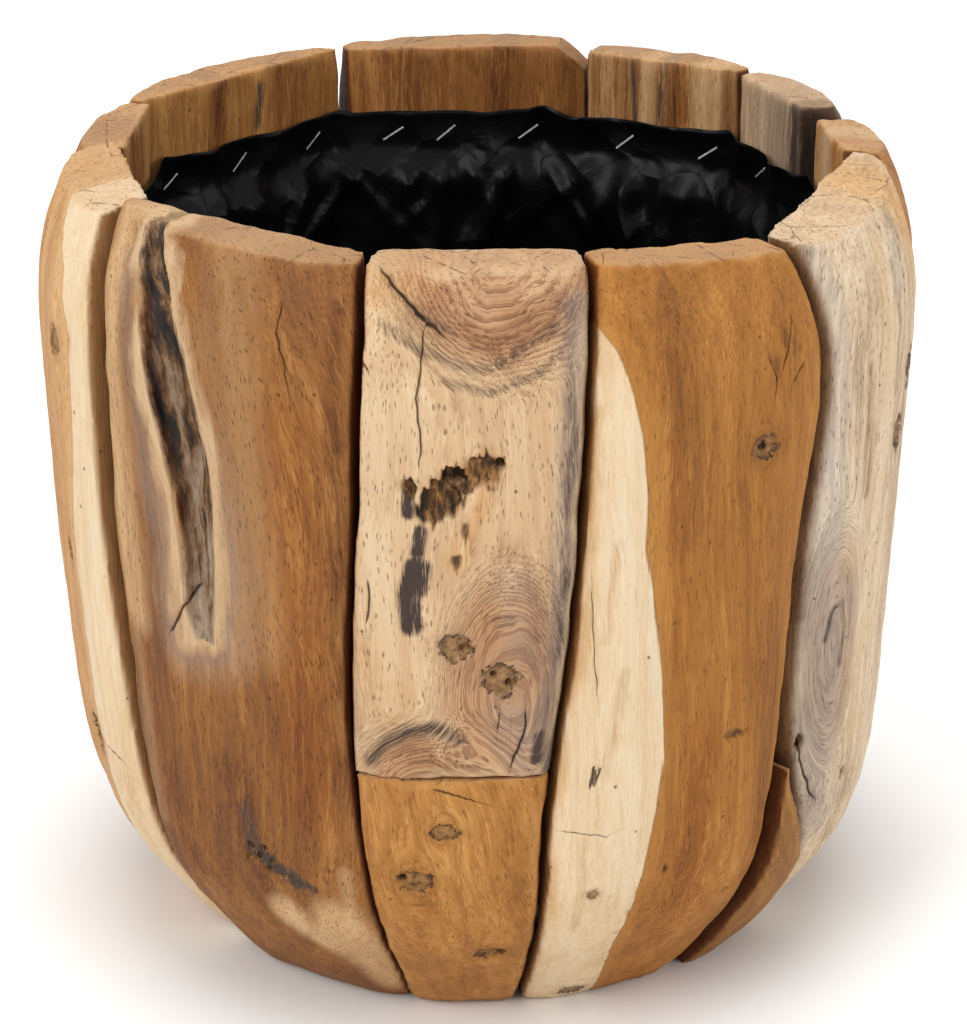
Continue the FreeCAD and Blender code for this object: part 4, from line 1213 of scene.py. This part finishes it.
# %% [markdown]
# ## Metal, base boards and dowels
# The staples are bright steel wire, the screws are zinc plated, and the hoops are rolled steel bar, dark
# grey with a dull mill skin. The base boards and their cleats are plain sawn softwood, hidden under the
# film. The dowels are turned beech. Both woods show straight grain along the piece.

# %% Metal and plain timber
scratch_size, scratch_strength, scratch_depth = 1.25, 0.2, 0.1
board_streak, board_roughness, board_strength, board_depth = 120.0, 0.7, 0.4, 0.3
board_steps = (0.3, 0.45, 0.55, 0.7)


def metal(name, tones, roughness, crystal_mm):
    """Bare metal: crystals of two tones with fine scratches."""
    material = bpy.data.materials.new(name)
    tree = bare(material)
    place = millimetres(tree)
    crystal = add(tree, "TexVoronoi", {"Vector": place, "Scale": 1 / crystal_mm}).node.outputs["Color"]
    pick = add(tree, "SeparateColor", {0: crystal})
    colour = add(tree, "Mix", {0: pick, 6: tones[0], 7: tones[1]}, data_type="RGBA")
    scratch = add(tree, "TexNoise", {"Vector": place, "Scale": 1 / scratch_size, "Detail": 3.0})
    gloss = add(tree, "MapRange", {0: scratch, 1: 0.3, 2: 0.7, 3: roughness - 0.08, 4: roughness + 0.1})
    bump = add(tree, "Bump", {"Strength": scratch_strength, "Distance": scratch_depth * mm,
                              "Height": scratch})
    finish = add(tree, "BsdfPrincipled", {"Base Color": colour, "Metallic": 1.0, "Roughness": gloss,
                                          "Normal": bump})
    add(tree, "OutputMaterial", {"Surface": finish})
    return material


def sawn(name, tones, along_axis, ring_mm):
    """Plain timber with its grain along one axis."""
    material = bpy.data.materials.new(name)
    tree = bare(material)
    stretch = [1 / ring_mm] * 3
    stretch[along_axis] = 1 / board_streak
    place = add(tree, "Mapping", {"Vector": millimetres(tree), "Scale": stretch})
    streak = add(tree, "TexNoise", {"Vector": place, "Scale": 1.0, "Detail": 4.0, "Roughness": 0.6})
    colour = add(tree, "ValToRGB", {0: streak}, stops=zip(board_steps, tones))
    bump = add(tree, "Bump", {"Strength": board_strength, "Distance": board_depth * mm, "Height": streak})
    finish = add(tree, "BsdfPrincipled", {"Base Color": colour, "Roughness": board_roughness, "Normal": bump})
    add(tree, "OutputMaterial", {"Surface": finish})
    return material


pine = ("#b98d58", "#d0a873", "#dcb986", "#e6c99b")
beech = ("#b98f66", "#cda57b", "#d8b48c", "#e2c29e")
finishes = (
    (metal("staple_wire_bright", ("#eeeff0", "#fafafa"), 0.5, 2.0), ("liner_staples",)),
    (metal("rolled_steel_bar", ("#38373a", "#565455"), 0.55, 6.0), ("upper_hoop", "lower_hoop")),
    (metal("zinc_plated_screws", ("#b0aa98", "#cbc6b6"), 0.35, 3.0),
     ("upper_hoop_screws", "lower_hoop_screws", "base_cleat_screws")),
    (sawn("pine_boards", pine, 1, 4.0), ("base_board_left", "base_board_middle", "base_board_right")),
    (sawn("pine_cleats", pine, 0, 4.0), ("base_cleat_front", "base_cleat_back")),
    (sawn("beech_dowels", beech, 2, 2.0), ("front_stave_dowels", "filler_dowel")),
)
for finish, nodes in finishes:
    for node in nodes:
        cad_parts[node].data.materials.clear()
        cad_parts[node].data.materials.append(finish)
    print(finish.name, "on", len(nodes), "nodes")

# %% [markdown]
# ## Floor and light
# A plain pale floor carries the shadow. A large soft lamp at the upper left, a weaker one at the right, one
# overhead and a pale sky light the wood evenly. The floor is lifted to white for the eye where it lies clear
# of the planter, and more so with distance.

# %% Floor
floor_size = 8.0
near_lift, near_reach = 0.34, (0.14, 0.26)
far_lift, far_reach = 0.66, (0.8, 3.0)

bpy.ops.object.select_all(action="DESELECT")
bpy.ops.mesh.primitive_plane_add(size=floor_size)
floor = bpy.context.object
floor.name = "floor"
floor_paint = bpy.data.materials.new("pale_floor")
tree = bare(floor_paint)
matt = add(tree, "BsdfDiffuse", {"Color": "#f2f1ef"})
seen = add(tree, "LightPath").node.outputs["Is Camera Ray"]
reach = add(tree, "VectorMath", {0: add(tree, "TexCoord").node.outputs["Object"]}, operation="LENGTH")
clear = add(tree, "MapRange", {0: reach, 1: near_reach[0], 2: near_reach[1], 3: 0, 4: near_lift},
            interpolation_type="SMOOTHSTEP")
far = add(tree, "MapRange", {0: reach, 1: far_reach[0], 2: far_reach[1], 3: 0, 4: far_lift})
lift = add(tree, "Math", {0: clear, 1: far}, operation="ADD")
lift = add(tree, "Math", {0: seen, 1: lift}, operation="MULTIPLY")
glow = add(tree, "Emission", {"Color": "#ffffff", "Strength": lift})
add(tree, "OutputMaterial", {"Surface": add(tree, "AddShader", {0: matt, 1: glow})})
floor.data.materials.append(floor_paint)
print("floor", floor_size, "m wide")

# %% Lamps and sky
# Each lamp: place and size in m, and power in W.
lamps = {
    "key": ((-1.5, -1.7, 1.9), 1.5, 36),
    "fill": ((1.9, -1.3, 1.2), 1.3, 14),
    "top": ((0, 0.3, 2.4), 1.8, 22),
}
sky_light, sky_seen = 0.45, 1.0
for name, (place, size, power) in lamps.items():
    aim = Vector((0, 0, target_height)) - Vector(place)
    bpy.ops.object.light_add(type="AREA", location=place, rotation=aim.to_track_quat("-Z", "Y").to_euler())
    lamp = bpy.context.object
    lamp.name = name
    lamp.data.size = size
    lamp.data.energy = power

world = bpy.data.worlds.new("studio")
bpy.context.scene.world = world
tree = bare(world)
rays = add(tree, "LightPath").node.outputs
seen = rays["Is Camera Ray"]
for ray in ("Is Glossy Ray", "Is Transmission Ray"):
    seen = add(tree, "Math", {0: seen, 1: rays[ray]}, operation="MAXIMUM")
strength = add(tree, "MapRange", {0: seen, 3: sky_light, 4: sky_seen})
sky = add(tree, "Background", {"Color": "#ffffff", "Strength": strength})
add(tree, "OutputWorld", {"Surface": sky})
bpy.context.scene.view_settings.view_transform = "Standard"
print(len(lamps), "lamps")
